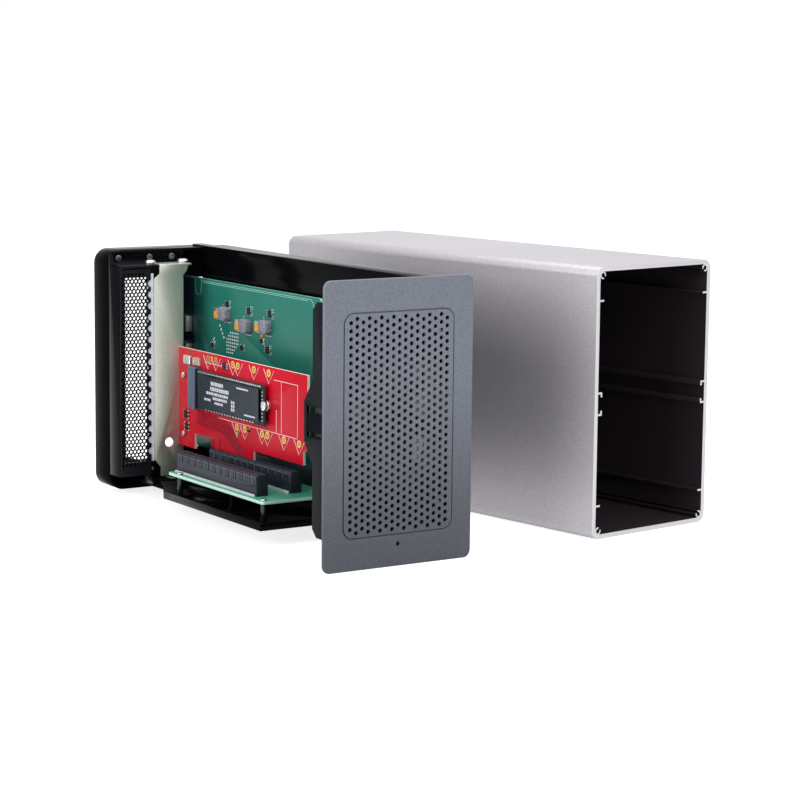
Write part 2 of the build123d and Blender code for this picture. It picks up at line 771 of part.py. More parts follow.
def key_range(clearance):
    """The key's two ends along Y."""
    back = card_tab_rear() - key_from_rear
    return (back - key_width + clearance, back - clearance)


def adapter_card():
    """Adapter card with its contact tab, key gap and rear notch."""
    tab_back = card_tab_rear()
    tab_front = tab_back - card_tab_length
    tab_low = connector_top - connector_slot + 0.2
    body_low = connector_top + card_body_lift
    foot_low = slot_board_top + card_foot
    notch = (tab_back + 4.5, tab_back + 23.5)
    rear = card_rear
    key = key_range(0)
    outline = [
        (rear, card_top), (card_front, card_top), (card_front, body_low + 9), (card_front + 4, body_low + 7),
        (card_front + 4, body_low), (tab_front, body_low), (tab_front, tab_low + 1), (tab_front + 1, tab_low),
        (key[0] - 0.5, tab_low), (key[0], tab_low + 0.5), (key[0], connector_top - 1.4),
        (key[1], connector_top - 1.4), (key[1], tab_low + 0.5), (key[1] + 0.5, tab_low),
        (tab_back - 1, tab_low), (tab_back, tab_low + 1), (tab_back, connector_top + 0.4),
        (notch[0], connector_top + 0.4), (notch[0], body_low + 0.5), (notch[1], body_low + 0.5),
        (notch[1], foot_low), (rear, foot_low),
    ]
    card = plate_x(outline, far_slot_x - card_half, far_slot_x + card_half)
    return card - rod_x(drive_screw_y(), drive_middle(), screw_radius, -5, 5)


def drive_back():
    """Rear end of the solid state drive, inside its socket."""
    return card_rear - 23.4


def drive_screw_y():
    """Place of the drive's screw along Y."""
    return drive_back() - drive_length


def drive_middle():
    """Middle height of the solid state drive."""
    return drive_low + drive_width / 2


def drive_board_x():
    """The two faces of the drive's board along X."""
    back = far_slot_x - card_half - drive_lift
    return (back - 0.8, back)


def m2_socket():
    """Socket that holds the drive's contact edge."""
    face = far_slot_x - card_half
    x = (face - 4.2, face)
    y = (drive_back() - 3.0, drive_back() + 5.2)
    body = block(x, y, (drive_low - 0.6, drive_low + drive_width + 0.6))
    board = drive_board_x()
    gap = (board[0] - card_clearance, board[1] + card_clearance)
    return body - block(gap, (y[0] - 1, drive_back() + 0.1), (drive_low - 0.1, drive_low + drive_width + 0.1))


def ssd_module():
    """Board of the solid state drive with the half-round screw notch."""
    body = block(drive_board_x(), (drive_screw_y(), drive_back()), (drive_low, drive_low + drive_width))
    return body - rod_x(drive_screw_y(), drive_middle(), 1.9, -9, 2)


def ssd_chips():
    """Controller and memory packages of the drive."""
    face = drive_board_x()[0]
    y = drive_screw_y()
    group = []
    for start, length, lift in ((6, 14, 1.3), (23, 14, 1.3), (41, 11, 1.1), (56, 15, 1.2)):
        low = drive_low + 2.5
        group.append(block((face - lift, face), (y + start, y + start + length), (low, low + 17)))
    return Compound(group)


def ssd_screw():
    """Post and screw at the drive's free end."""
    board = drive_board_x()
    z = drive_middle()
    y = drive_screw_y()
    body = rod_x(y, z, 2.8, board[1], far_slot_x - card_half)
    return body + rod_x(y, z, 1.3, board[0], board[1]) + rod_x(y, z, 2.6, board[0] - 1.0, board[0])


def adapter_chips():
    """Small parts on the adapter card."""
    face = far_slot_x - card_half
    group = []
    places = (
        (56.9, 79.0, 5.0, 3.0, 1.2), (44.9, 79.0, 4.0, 2.2, 1.0), (12.9, 76.5, 6.0, 7.0, 2.6),
        (9.9, 66.0, 3.4, 5.0, 1.4), (9.9, 46.0, 4.0, 5.0, 1.6), (14.9, 40.0, 3.0, 4.0, 1.2),
        (80.9, 47.0, 3.0, 1.6, 0.9), (68.9, 44.0, 2.6, 1.6, 0.9),
    )
    for from_rear, z, long, tall, lift in places:
        y = card_rear - from_rear
        group.append(block((face - lift, face), (y - long / 2, y + long / 2), (z - tall / 2, z + tall / 2)))
    return Compound(group)


def board_height(share):
    """A height on the upright board, as a share of the way from its lower to its upper edge."""
    return main_board_low + share * (main_board_top - main_board_low)


def main_board():
    """Upright controller board with a slanted front corner."""
    top = main_board_top
    outline = [
        (main_board_front, main_board_low), (main_board_back, main_board_low), (main_board_back, top),
        (main_board_front + 3, top), (main_board_front, top - 3),
    ]
    board = plate_x(outline, main_board_x, main_board_x + board_thickness)
    for y, z in main_standoff_places():
        board -= rod_x(y, z, post_screw_radius + screw_clearance, main_board_x - 1, main_board_x + 3)
    return board


def main_standoff_places():
    """Posts of the upright board, in Y and Z."""
    front = main_board_front + 20
    back = main_board_back - 40
    return [(front, 68.0), (back, 68.0), (front, 44.0), (back, 44.0)]


def main_board_standoffs():
    """Posts between the upright board and the wall."""
    back = main_board_x + board_thickness
    group = []
    for y, z in main_standoff_places():
        post = rod_x(y, z, standoff_radius, back, wall_front_x)
        hole = post_screw_radius + screw_clearance
        group.append(post - rod_x(y, z, hole, back - 1, wall_front_x - 0.4))
    return Compound(group)


def main_board_screws():
    """Screws on the upright board."""
    back = main_board_x + board_thickness
    group = []
    for y, z in main_standoff_places():
        shank = rod_x(y, z, post_screw_radius, main_board_x, back + 1.6)
        group.append(shank + rod_x(y, z, 1.8, main_board_x - 1.0, main_board_x))
    return Compound(group)


def board_link():
    """Connector on the riser board that takes the upright board's lower edge."""
    middle = main_board_x + board_thickness / 2
    half = board_thickness / 2 + card_clearance
    y = (slot_board_front + 27, slot_board_back - 20)
    right = min(middle + 3.2, slot_board_right)
    body = block((middle - 3.2, right), y, (slot_board_top, main_board_low + 6))
    groove_z = (main_board_low, main_board_low + 7)
    return body - block((middle - half, middle + half), (y[0] - 1, y[1] + 1), groove_z)


def power_inductors():
    """Square power inductors on the upright board."""
    group = []
    for from_rear, below in ((51.7, 17.4), (75.7, 22.0), (97.9, 20.4)):
        y = main_board_back - from_rear
        z = main_board_top - below
        coil = block((main_board_x - 4.2, main_board_x), (y - 3.8, y + 3.8), (z - 3.8, z + 3.8))
        group.append(chamfer(coil.edges().filter_by(Axis.X), 1.2))
    return Compound(group)


def power_capacitors():
    """Small tantalum capacitors beside the inductors, and loose rows of parts."""
    group = []
    for from_rear, below in ((42.1, 18.4), (66.1, 22.5), (88.3, 21.2)):
        y = main_board_back - from_rear
        z = main_board_top - below
        group.append(block((main_board_x - 2.4, main_board_x), (y - 2.0, y + 2.0), (z - 3.4, z + 3.4)))
    rows = ((77.4, 12.6), (100.6, 12.0), (90.1, 29.5), (96.3, 33.7), (70.4, 35.6), (44.7, 31.2))
    for from_rear, below in rows:
        y = main_board_back - from_rear
        z = main_board_top - below
        for step in (-2.2, 0.0, 2.2):
            part_y = (y + step - 0.6, y + step + 0.6)
            group.append(block((main_board_x - 1.0, main_board_x), part_y, (z - 1, z + 1)))
    return Compound(group)


def controller_chips():
    """Controller package, its regulator and a memory chip on the upright board."""
    group = []
    chips = ((119.7, 0.432, 18, 18, 1.8), (91.7, 0.432, 10, 10, 1.4), (70.0, 0.37, 8, 6, 1.4))
    for from_rear, share, long, tall, lift in chips:
        y = main_board_back - from_rear
        z = board_height(share)
        y_range = (y - long / 2, y + long / 2)
        group.append(block((main_board_x - lift, main_board_x), y_range, (z - tall / 2, z + tall / 2)))
    return Compound(group)


def data_port_heights():
    """Middle heights of the two data ports."""
    return (board_height(0.72), board_height(0.5556))


def data_port_lift():
    """How far a data port stands off its board."""
    return 3.4


def port_half_height():
    """Half the long side of a data port."""
    return 4.5


def data_ports():
    """Two small data ports on the upright board's rear edge."""
    x = (main_board_x - data_port_lift(), main_board_x)
    group = []
    for z in data_port_heights():
        half = port_half_height()
        body = block(x, (cap_back - 11.5, cap_back - 0.6), (z - half, z + half))
        mouth = block((x[0] + 0.5, x[1] - 0.5), (cap_back - 7, cap_back), (z - half + 0.5, z + half - 0.5))
        tongue_z = (z - half + 1.6, z + half - 1.6)
        tongue = block((x[0] + 1.4, x[1] - 1.4), (cap_back - 7.5, cap_back - 1.6), tongue_z)
        group.append(body - mouth + tongue)
    return Compound(group)


def power_jack_radius():
    """Outer radius of the power jack's barrel."""
    return 3.9


def power_jack_place():
    """Middle of the power jack in X and Z."""
    return (main_board_x - 5.5, board_height(0.3292))


def power_jack():
    """Round direct-current jack with its centre pin."""
    x, z = power_jack_place()
    reach = main_board_x - x
    body = block((x - reach, main_board_x), (cap_back - 13, cap_back - cap_wall - 0.2), (z - 4.6, z + 4.6))
    body += rod_y(x, z, power_jack_radius(), cap_back - cap_wall - 1, cap_back - 0.4)
    body -= rod_y(x, z, power_jack_radius() - 1.1, cap_back - 10, cap_back)
    return body + rod_y(x, z, 1.0, cap_back - 10.5, cap_back - 2)


def write_parts():
    """Build every piece and write it to its own file."""
    pieces = {
        "outer_sleeve": sleeve(),
        "front_bezel": bezel(),
        "bezel_screws": bezel_screws(),
        "light_pipe": light_pipe(),
        "led_board": led_board(),
        "fan_shroud": fan_shroud(),
        "fan_frame": fan_frame(),
        "fan_rotor": fan_rotor(),
        "fan_screws": fan_screws(),
        "chassis": chassis(),
        "chassis_screws": chassis_screws(),
        "rear_cap": rear_cap(),
        "slot_cage": slot_cage(),
        "cage_screws": cage_screws(),
        "slot_cover": slot_cover(),
        "card_bracket": card_bracket(),
        "bracket_screws": bracket_screws(),
        "slot_board": slot_board(),
        "slot_connector_near": slot_connector(near_slot_x),
        "slot_connector_far": slot_connector(far_slot_x),
        "board_standoffs": board_standoffs(),
        "board_screws": board_screws(),
        "adapter_card": adapter_card(),
        "adapter_chips": adapter_chips(),
        "m2_socket": m2_socket(),
        "ssd_module": ssd_module(),
        "ssd_chips": ssd_chips(),
        "ssd_screw": ssd_screw(),
        "main_board": main_board(),
        "main_board_standoffs": main_board_standoffs(),
        "main_board_screws": main_board_screws(),
        "board_link": board_link(),
        "power_inductors": power_inductors(),
        "power_capacitors": power_capacitors(),
        "controller_chips": controller_chips(),
        "data_ports": data_ports(),
        "power_jack": power_jack(),
    }
    # The row's origin is on the floor under the middle of the bezel's thickness
    os.makedirs("parts", exist_ok=True)
    for name, shape in pieces.items():
        export_step(Pos(0, -bezel_thickness / 2, 0) * shape, f"parts/{name}.step")


write_parts()
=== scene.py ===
from math import cos, pi, radians, sin, sqrt

import bpy
from mathutils import Matrix, Vector
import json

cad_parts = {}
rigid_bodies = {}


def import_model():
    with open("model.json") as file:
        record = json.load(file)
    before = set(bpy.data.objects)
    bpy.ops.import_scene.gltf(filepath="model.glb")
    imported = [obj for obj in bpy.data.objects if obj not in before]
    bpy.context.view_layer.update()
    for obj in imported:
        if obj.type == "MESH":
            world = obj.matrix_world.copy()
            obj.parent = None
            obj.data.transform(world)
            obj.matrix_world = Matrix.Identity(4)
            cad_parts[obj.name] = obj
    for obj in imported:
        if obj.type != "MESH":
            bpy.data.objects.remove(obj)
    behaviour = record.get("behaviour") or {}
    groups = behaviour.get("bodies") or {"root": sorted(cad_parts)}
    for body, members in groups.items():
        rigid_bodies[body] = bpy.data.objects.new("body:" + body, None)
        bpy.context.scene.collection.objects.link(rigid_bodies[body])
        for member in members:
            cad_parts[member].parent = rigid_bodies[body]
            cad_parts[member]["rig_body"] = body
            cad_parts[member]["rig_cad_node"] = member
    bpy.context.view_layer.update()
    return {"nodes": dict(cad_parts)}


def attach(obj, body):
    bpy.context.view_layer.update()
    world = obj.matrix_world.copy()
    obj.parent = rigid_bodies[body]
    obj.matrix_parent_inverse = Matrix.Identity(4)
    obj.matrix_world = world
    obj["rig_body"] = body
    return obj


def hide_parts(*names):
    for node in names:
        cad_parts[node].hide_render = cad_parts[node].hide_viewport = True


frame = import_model()
print("frame loaded,", len(frame["nodes"]), "nodes")

mm = 0.001
frontY = -2.5  # the bezel's front face; every Y below is counted from it, in mm

# tools of the bench, with angles in degrees and merging distances in metres

bench = {
    "bevelSteps": 2, "sharpAngle": 35, "rodAngle": 60, "smoothAngle": 38, "flatAngle": 1.0,
    "nodeMerge": 2e-6, "plateMerge": 1e-6, "rodSides": 20, "cornerSteps": 8,
}


def pick(piece):
    bpy.ops.object.select_all(action="DESELECT")
    piece.select_set(True)
    bpy.context.view_layer.objects.active = piece


def settle(piece):
    # place, turn and size go into the mesh
    pick(piece)
    bpy.ops.object.transform_apply(location=True, rotation=True, scale=True)
    return piece


def roundEdges(piece, width, angle=bench["sharpAngle"]):
    pick(piece)
    bevel = piece.modifiers.new("rounded edges", "BEVEL")
    bevel.width = width * mm
    bevel.segments = bench["bevelSteps"]
    bevel.limit_method = "ANGLE"
    bevel.angle_limit = radians(angle)
    bpy.ops.object.modifier_apply(modifier=bevel.name)
    bpy.ops.object.shade_smooth_by_angle(angle=radians(bench["smoothAngle"]))
    return piece


def addBlock(x, y, z, bevel=0.0):
    # a box between two values along each axis
    size = [(pair[1] - pair[0]) * mm for pair in (x, y, z)]
    middle = [(pair[0] + pair[1]) / 2 * mm for pair in (x, y, z)]
    middle[1] += frontY * mm
    bpy.ops.object.select_all(action="DESELECT")
    bpy.ops.mesh.primitive_cube_add(size=1, location=middle)
    piece = bpy.context.active_object
    piece.scale = size
    settle(piece)
    if bevel:
        bpy.ops.object.mode_set(mode="EDIT")
        bpy.ops.mesh.select_all(action="SELECT")
        bpy.ops.mesh.bevel(offset=bevel * mm, segments=1, affect="EDGES")
        bpy.ops.object.mode_set(mode="OBJECT")
    return piece


def addRod(x, y, z, radius, length, bevel):
    # a rod that starts at the point and runs to the right, with rounded ends
    middle = ((x + length / 2) * mm, (y + frontY) * mm, z * mm)
    bpy.ops.object.select_all(action="DESELECT")
    bpy.ops.mesh.primitive_cylinder_add(
        vertices=bench["rodSides"], radius=radius * mm, depth=length * mm, location=middle,
        rotation=(0, pi / 2, 0)
    )
    return roundEdges(settle(bpy.context.active_object), bevel, bench["rodAngle"])


def ringPoints(u, v, radius, count):
    turns = [2 * pi * i / count for i in range(count)]
    return [(u + radius * cos(turn), v + radius * sin(turn)) for turn in turns]


def cornerPoints(u0, u1, v0, v1, radius, steps=bench["cornerSteps"]):
    # a rectangle with round corners
    points = []
    corners = ((u1, v1, 0), (u0, v1, 90), (u0, v0, 180), (u1, v0, 270))
    for u, v, start in corners:
        middleU = u - radius if u == u1 else u + radius
        middleV = v - radius if v == v1 else v + radius
        for i in range(steps + 1):
            turn = radians(start + 90 * i / steps)
            points.append((middleU + radius * cos(turn), middleV + radius * sin(turn)))
    return points


def cutPlate(outlines, low, high, axis, bevel=0.0):
    # a plate from closed outlines, where an outline inside another is a hole
    drawing = bpy.data.curves.new("plate", "CURVE")
    drawing.dimensions = "2D"
    drawing.fill_mode = "BOTH"
    for outline in outlines:
        spline = drawing.splines.new("POLY")
        spline.points.add(len(outline) - 1)
        spline.use_cyclic_u = True
        for point, (u, v) in zip(spline.points, outline):
            point.co = (u * mm, v * mm, 0, 1)
    drawing.extrude = ((high - low) / 2 - bevel) * mm
    drawing.bevel_depth = bevel * mm
    drawing.bevel_resolution = 0
    drawing.offset = -bevel * mm
    piece = bpy.data.objects.new("plate", drawing)
    bpy.context.scene.collection.objects.link(piece)
    middle = (low + high) / 2 * mm
    piece.matrix_world = {
        "x": Matrix(((0, 0, 1, middle), (1, 0, 0, frontY * mm), (0, 1, 0, 0), (0, 0, 0, 1))),
        "y": Matrix(((1, 0, 0, 0), (0, 0, -1, middle + frontY * mm), (0, 1, 0, 0), (0, 0, 0, 1))),
    }[axis]
    bpy.context.view_layer.update()
    pick(piece)
    bpy.ops.object.convert(target="MESH")
    piece = settle(bpy.context.active_object)
    bpy.ops.object.mode_set(mode="EDIT")
    bpy.ops.mesh.select_all(action="SELECT")
    bpy.ops.mesh.remove_doubles(threshold=bench["plateMerge"])
    bpy.ops.mesh.normals_make_consistent(inside=False)
    bpy.ops.object.mode_set(mode="OBJECT")
    return piece


def copyTo(piece, moves):
    # the piece and its copies at these distances, each with its own mesh
    group = [piece]
    for move in moves:
        twin = piece.copy()
        twin.data = piece.data.copy()
        bpy.context.scene.collection.objects.link(twin)
        twin.location = Vector(move) * mm
        group.append(settle(twin))
    return group


def joinAll(group):
    bpy.ops.object.select_all(action="DESELECT")
    for piece in group:
        piece.select_set(True)
    bpy.context.view_layer.objects.active = group[0]
    if len(group) > 1:
        bpy.ops.object.join()
    return bpy.context.active_object


def takeNode(node, width):
    # a clean copy of a CAD node with its sharp edges rounded
    source = frame["nodes"][node]
    piece = source.copy()
    piece.data = source.data.copy()
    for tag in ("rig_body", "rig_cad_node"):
        del piece[tag]
    bpy.context.scene.collection.objects.link(piece)
    piece.parent = None
    piece.matrix_world = Matrix.Identity(4)
    piece.data.materials.clear()
    pick(piece)
    bpy.ops.object.mode_set(mode="EDIT")
    bpy.ops.mesh.select_all(action="SELECT")
    bpy.ops.mesh.remove_doubles(threshold=bench["nodeMerge"])
    bpy.ops.mesh.dissolve_limited(angle_limit=radians(bench["flatAngle"]))
    bpy.ops.mesh.normals_make_consistent(inside=False)
    bpy.ops.object.mode_set(mode="OBJECT")
    return roundEdges(piece, width)


def addBlocks(boxes, bevel=0.0):
    # many small blocks in one piece, each between two values along each axis
    return joinAll([addBlock(x, y, z, bevel) for x, y, z in boxes])


def onFace(face, y, z, long, tall, lift):
    # a block on a board whose face looks to the left
    return ((face - lift, face), (y - long / 2, y + long / 2), (z - tall / 2, z + tall / 2))


def rowOf(start, pitch, count):
    return [start + pitch * i for i in range(count)]


def padGrid(face, along, upward, pad):
    # alike blocks at each of these Y and Z; a pad is its length, its height and its lift
    return [onFace(face, y, z, *pad) for y in along for z in upward]


def addParts(look, parts, edge):
    # a look's parts in one piece, each a place and its length, height and lift
    return addBlocks([onFace(look["face"], *part) for part in look[parts]], look[edge])


def addTin(look):
    grids = [padGrid(look["face"], *grid) for grid in look["tin"]]
    return addBlocks([pad for grid in grids for pad in grid], look["tinEdge"])


def addLines(paths, face, radius):
    # fine raised lines on a board's left face, half sunk into it
    drawing = bpy.data.curves.new("lines", "CURVE")
    drawing.dimensions = "3D"
    drawing.bevel_depth = radius * mm
    drawing.bevel_resolution = 1
    for path in paths:
        spline = drawing.splines.new("POLY")
        spline.points.add(len(path) - 1)
        for point, (y, z) in zip(spline.points, path):
            point.co = (face * mm, (y + frontY) * mm, z * mm, 1)
    piece = bpy.data.objects.new("lines", drawing)
    bpy.context.scene.collection.objects.link(piece)
    pick(piece)
    bpy.ops.object.convert(target="MESH")
    return bpy.context.active_object


def finishPiece(piece, name, material, slot, *nodes, body="enclosure"):
    # slot is not used; it is None for a finish that the record has no slot for
    piece.name = name
    piece.data.name = name
    piece.data.materials.clear()
    piece.data.materials.append(material)
    if nodes:
        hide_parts(*nodes)
    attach(piece, body)


# materials

# what a finish and a board have where their own looks say nothing else
plainFinish = {
    "grainDetail": 2.0, "patches": 0.02, "patchDetail": 4.0, "patchEdge": (0.3, 0.7),
    "deepest": 0.72, "drift": 0.25, "roughVary": 0.05, "bump": 0.1, "depth": 0.02, "metal": 0.0,
    "ior": 1.5,
}
plainBoard = {
    "trackDetail": 0.5, "trackDetailScale": 0.6, "trackEdge": (0.62, 0.7), "areaDetail": 1.0,
    "areaEdge": (0.5, 0.54), "patches": 0.03, "patchDetail": 3.0, "patchEdge": (0.3, 0.7),
    "deepest": 0.6, "drift": 0.35, "cutTilt": 0.5, "bump": 0.25, "depth": 0.03, "ior": 1.35,
    "coat": 0.05, "coatRough": 0.25,
}


def tint(red, green, blue):
    # a colour given as eight-bit values
    def bend(value):
        value /= 255
        return value / 12.92 if value <= 0.04045 else ((value + 0.055) / 1.055) ** 2.4

    return (bend(red), bend(green), bend(blue), 1)


def grey(level):
    return (level, level, level, 1)


def startMaterial(name):
    material = bpy.data.materials.new(name)
    material.use_nodes = True
    shader = material.node_tree.nodes["Principled BSDF"]
    return material, material.node_tree.nodes, material.node_tree.links, shader


def feed(links, socket, value):
    # a socket gets another socket's output or a plain value
    if isinstance(value, bpy.types.NodeSocket):
        links.new(value, socket)
    else:
        socket.default_value = value


def mathNode(nodes, links, operation, first, second=0.0):
    step = nodes.new("ShaderNodeMath")
    step.operation = operation
    feed(links, step.inputs[0], first)
    feed(links, step.inputs[1], second)
    return step.outputs[0]


def mixNode(nodes, links, factor, first, second, blend="MIX"):
    mix = nodes.new("ShaderNodeMix")
    mix.data_type = "RGBA"
    mix.blend_type = blend
    for key, value in (("Factor", factor), ("A", first), ("B", second)):
        feed(links, mix.inputs[key], value)
    return mix.outputs["Result"]


def grainNode(nodes, links, coords, scale, detail):
    # scale is in grains for each millimetre
    grain = nodes.new("ShaderNodeTexNoise")
    grain.inputs["Scale"].default_value = scale / mm
    grain.inputs["Detail"].default_value = detail
    links.new(coords, grain.inputs["Vector"])
    return grain.outputs["Fac"]


def rampNode(nodes, links, factor, low, high, start=0.35, end=0.65):
    ramp = nodes.new("ShaderNodeValToRGB")
    ramp.color_ramp.elements[0].position = start
    ramp.color_ramp.elements[1].position = end
    ramp.color_ramp.elements[0].color = low
    ramp.color_ramp.elements[1].color = high
    links.new(factor, ramp.inputs["Fac"])
    return ramp.outputs["Color"]


def splitNode(nodes, links, vector):
    parts = nodes.new("ShaderNodeSeparateXYZ")
    links.new(vector, parts.inputs["Vector"])
    return parts.outputs


def addSkin(nodes, links, shader, height, look):
    # fine relief in place of modelled grain
    skin = nodes.new("ShaderNodeBump")
    skin.inputs["Strength"].default_value = look["bump"]
    skin.inputs["Distance"].default_value = look["depth"] * mm
    links.new(height, skin.inputs["Height"])
    links.new(skin.outputs["Normal"], shader.inputs["Normal"])


def surface(name, look):
    # a paint, plastic or metal with fine grain, slow variation and a rough skin
    look = {**plainFinish, **look}
    material, nodes, links, shader = startMaterial(name)
    coords = nodes.new("ShaderNodeTexCoord").outputs["Object"]
    fine = grainNode(nodes, links, coords, look["grain"], look["grainDetail"])
    slow = grainNode(nodes, links, coords, look["patches"], look["patchDetail"])
    colour = rampNode(nodes, links, fine, look["dark"], look["light"])
    shade = rampNode(nodes, links, slow, grey(look["deepest"]), grey(1), *look["patchEdge"])
    drift = mixNode(nodes, links, look["drift"], colour, shade, "MULTIPLY")
    links.new(drift, shader.inputs["Base Color"])
    rough = nodes.new("ShaderNodeMapRange")
    rough.inputs["To Min"].default_value = look["rough"] - look["roughVary"]
    rough.inputs["To Max"].default_value = look["rough"] + look["roughVary"]
    links.new(slow, rough.inputs["Value"])
    links.new(rough.outputs["Result"], shader.inputs["Roughness"])
    addSkin(nodes, links, shader, fine, look)
    shader.inputs["Metallic"].default_value = look["metal"]
    shader.inputs["IOR"].default_value = look["ior"]
    return material


def boardSurface(name, look):
    # solder mask with faint copper tracks under it and bare edges of glass laminate
    look = {**plainBoard, **look}
    material, nodes, links, shader = startMaterial(name)
    coords = nodes.new("ShaderNodeTexCoord").outputs["Object"]
    tracks = nodes.new("ShaderNodeTexWave")
    tracks.wave_type = "BANDS"
    tracks.bands_direction = look["trackAxis"]
    tracks.inputs["Scale"].default_value = look["trackScale"]
    tracks.inputs["Distortion"].default_value = look["trackBend"]
    tracks.inputs["Detail"].default_value = look["trackDetail"]
    tracks.inputs["Detail Scale"].default_value = look["trackDetailScale"]
    links.new(coords, tracks.inputs["Vector"])
    lines = rampNode(nodes, links, tracks.outputs["Fac"], grey(0), grey(1), *look["trackEdge"])
    areas = grainNode(nodes, links, coords, look["areaScale"], look["areaDetail"])
    where = rampNode(nodes, links, areas, grey(0), grey(1), *look["areaEdge"])
    copper = mathNode(nodes, links, "MULTIPLY", lines, where)
    mask = rampNode(nodes, links, copper, look["mask"], look["track"], 0.0, 1.0)
    slow = grainNode(nodes, links, coords, look["patches"], look["patchDetail"])
    shade = rampNode(nodes, links, slow, grey(look["deepest"]), grey(1), *look["patchEdge"])
    drift = mixNode(nodes, links, look["drift"], mask, shade, "MULTIPLY")
    # a cut edge is where the normal leaves the board's own axis
    normal = splitNode(nodes, links, nodes.new("ShaderNodeNewGeometry").outputs["Normal"])
    tilt = mathNode(nodes, links, "ABSOLUTE", normal[look["faceAxis"]])
    cut = mathNode(nodes, links, "LESS_THAN", tilt, look["cutTilt"])
    links.new(mixNode(nodes, links, cut, drift, look["edge"]), shader.inputs["Base Color"])
    addSkin(nodes, links, shader, copper, look)
    shader.inputs["Roughness"].default_value = look["rough"]
    shader.inputs["IOR"].default_value = look["ior"]
    shader.inputs["Coat Weight"].default_value = look["coat"]
    shader.inputs["Coat Roughness"].default_value = look["coatRough"]
    return material


blackPlastic = surface("moulded black", {
    "dark": tint(14, 16, 20), "light": tint(25, 28, 33), "grain": 1.6, "rough": 0.36, "bump": 0.15,
    "depth": 0.03, "ior": 1.07,
})
fanPlastic = surface("fan black", {
    "dark": tint(16, 17, 20), "light": tint(26, 27, 32), "grain": 2.0, "rough": 0.42, "bump": 0.12,
    "ior": 1.25,
})
glossBlack = surface("gloss black", {
    "dark": tint(5, 6, 8), "light": tint(10, 11, 14), "grain": 0.8, "rough": 0.12, "bump": 0.04,
    "ior": 1.045, "roughVary": 0.03,
})
blackPaint = surface("black sheet paint", {
    "dark": tint(6, 6, 8), "light": tint(12, 12, 15), "grain": 1.2, "rough": 0.15, "bump": 0.05,
    "ior": 1.1,
})
meshPaint = surface("mesh sheet paint", {
    "dark": tint(16, 16, 22), "light": tint(30, 30, 38), "grain": 1.6, "rough": 0.35, "bump": 0.08,
    "ior": 1.3,
})
steelPlate = surface("bright steel", {
    "dark": tint(186, 191, 178), "light": tint(194, 199, 186), "grain": 0.6, "rough": 0.36,
    "bump": 0.0, "metal": 0.75, "drift": 0.08, "roughVary": 0.01,
})
zincPlate = surface("zinc screws", {
    "dark": tint(178, 180, 182), "light": tint(214, 215, 216), "grain": 2.5, "rough": 0.25,
    "bump": 0.05, "metal": 1.0,
})
darkScrew = surface("blackened screws", {
    "dark": tint(32, 32, 34), "light": tint(48, 48, 50), "grain": 2.5, "rough": 0.35, "bump": 0.05,
    "metal": 0.6,
})
greyScrew = surface("grey screws", {
    "dark": tint(84, 86, 90), "light": tint(120, 122, 126), "grain": 2.0, "rough": 0.3, "bump": 0.08,
    "metal": 0.9,
})
connectorPlastic = surface("connector plastic", {
    "dark": tint(30, 35, 43), "light": tint(44, 50, 61), "grain": 2.2, "rough": 0.36, "bump": 0.12,
    "ior": 1.25,
})
# painted highlight: light lines along the edges of the connectors' pockets
paintedEdgeHighlight = surface("painted edge highlight", {
    "dark": tint(92, 98, 112), "light": tint(120, 126, 142), "grain": 2.0, "rough": 0.4, "bump": 0.05,
})
socketPlastic = surface("socket plastic", {
    "dark": tint(74, 82, 104), "light": tint(96, 104, 128), "grain": 2.2, "rough": 0.45, "bump": 0.12,
})
chipPlastic = surface("chip moulding", {
    "dark": tint(26, 27, 30), "light": tint(40, 41, 45), "grain": 3.0, "rough": 0.55, "bump": 0.2,
    "ior": 1.3,
})
labelPaper = surface("dark label", {
    "dark": tint(22, 32, 42), "light": tint(34, 46, 56), "grain": 0.8, "rough": 0.42, "bump": 0.04,
    "ior": 1.3,
})
labelPrint = surface("light print", {
    "dark": tint(186, 190, 200), "light": tint(212, 215, 222), "grain": 1.2, "rough": 0.6,
})
goldPlate = surface("gold plate", {
    "dark": tint(226, 178, 66), "light": tint(250, 214, 110), "grain": 1.5, "rough": 0.35,
    "bump": 0.05, "metal": 0.7,
})
# painted shade: dark copper rings that stand for the shaded pits of the test rings
pitShadeCopper = surface("copper in painted pit shade", {
    "dark": tint(92, 58, 22), "light": tint(140, 96, 40), "grain": 1.5, "rough": 0.45, "bump": 0.05,
})
tinSolder = surface("tin", {
    "dark": tint(186, 188, 190), "light": tint(226, 227, 226), "grain": 1.5, "rough": 0.3,
    "bump": 0.15, "metal": 0.85,
})
whiteInk = surface("white ink", {
    "dark": tint(226, 226, 230), "light": tint(244, 244, 246), "grain": 1.2, "rough": 0.6,
})
traceInk = surface("covered copper", {
    "dark": tint(96, 12, 34), "light": tint(126, 20, 44), "grain": 1.2, "rough": 0.4, "ior": 1.3,
})
inductorGrey = surface("inductor grey", {
    "dark": tint(104, 104, 116), "light": tint(148, 148, 162), "grain": 1.4, "rough": 0.5, "bump": 0.3,
})
amberMoulding = surface("capacitor amber", {
    "dark": tint(206, 134, 40), "light": tint(236, 172, 76), "grain": 1.4, "rough": 0.45,
})
ceramicTan = surface("ceramic tan", {
    "dark": tint(176, 144, 104), "light": tint(206, 178, 140), "grain": 1.4, "rough": 0.5,
})
lightPipeSkin = surface("unlit light pipe", {
    "dark": tint(8, 9, 11), "light": tint(14, 15, 18), "grain": 1.0, "rough": 0.3, "ior": 1.1,
})
postSteel = surface("dark post steel", {
    "dark": tint(44, 46, 50), "light": tint(70, 72, 78), "grain": 1.2, "rough": 0.28, "metal": 0.9,
})
gasketMetal = surface("pale gasket", {
    "dark": tint(206, 208, 226), "light": tint(232, 234, 246), "grain": 1.0, "rough": 0.6,
})
maskGreen = surface("deep green mask", {
    "dark": tint(8, 112, 82), "light": tint(18, 138, 100), "grain": 0.8, "rough": 0.35, "ior": 1.35,
})
maskNavy = surface("navy mask", {
    "dark": tint(30, 46, 66), "light": tint(46, 66, 88), "grain": 0.5, "rough": 0.35, "ior": 1.35,
})
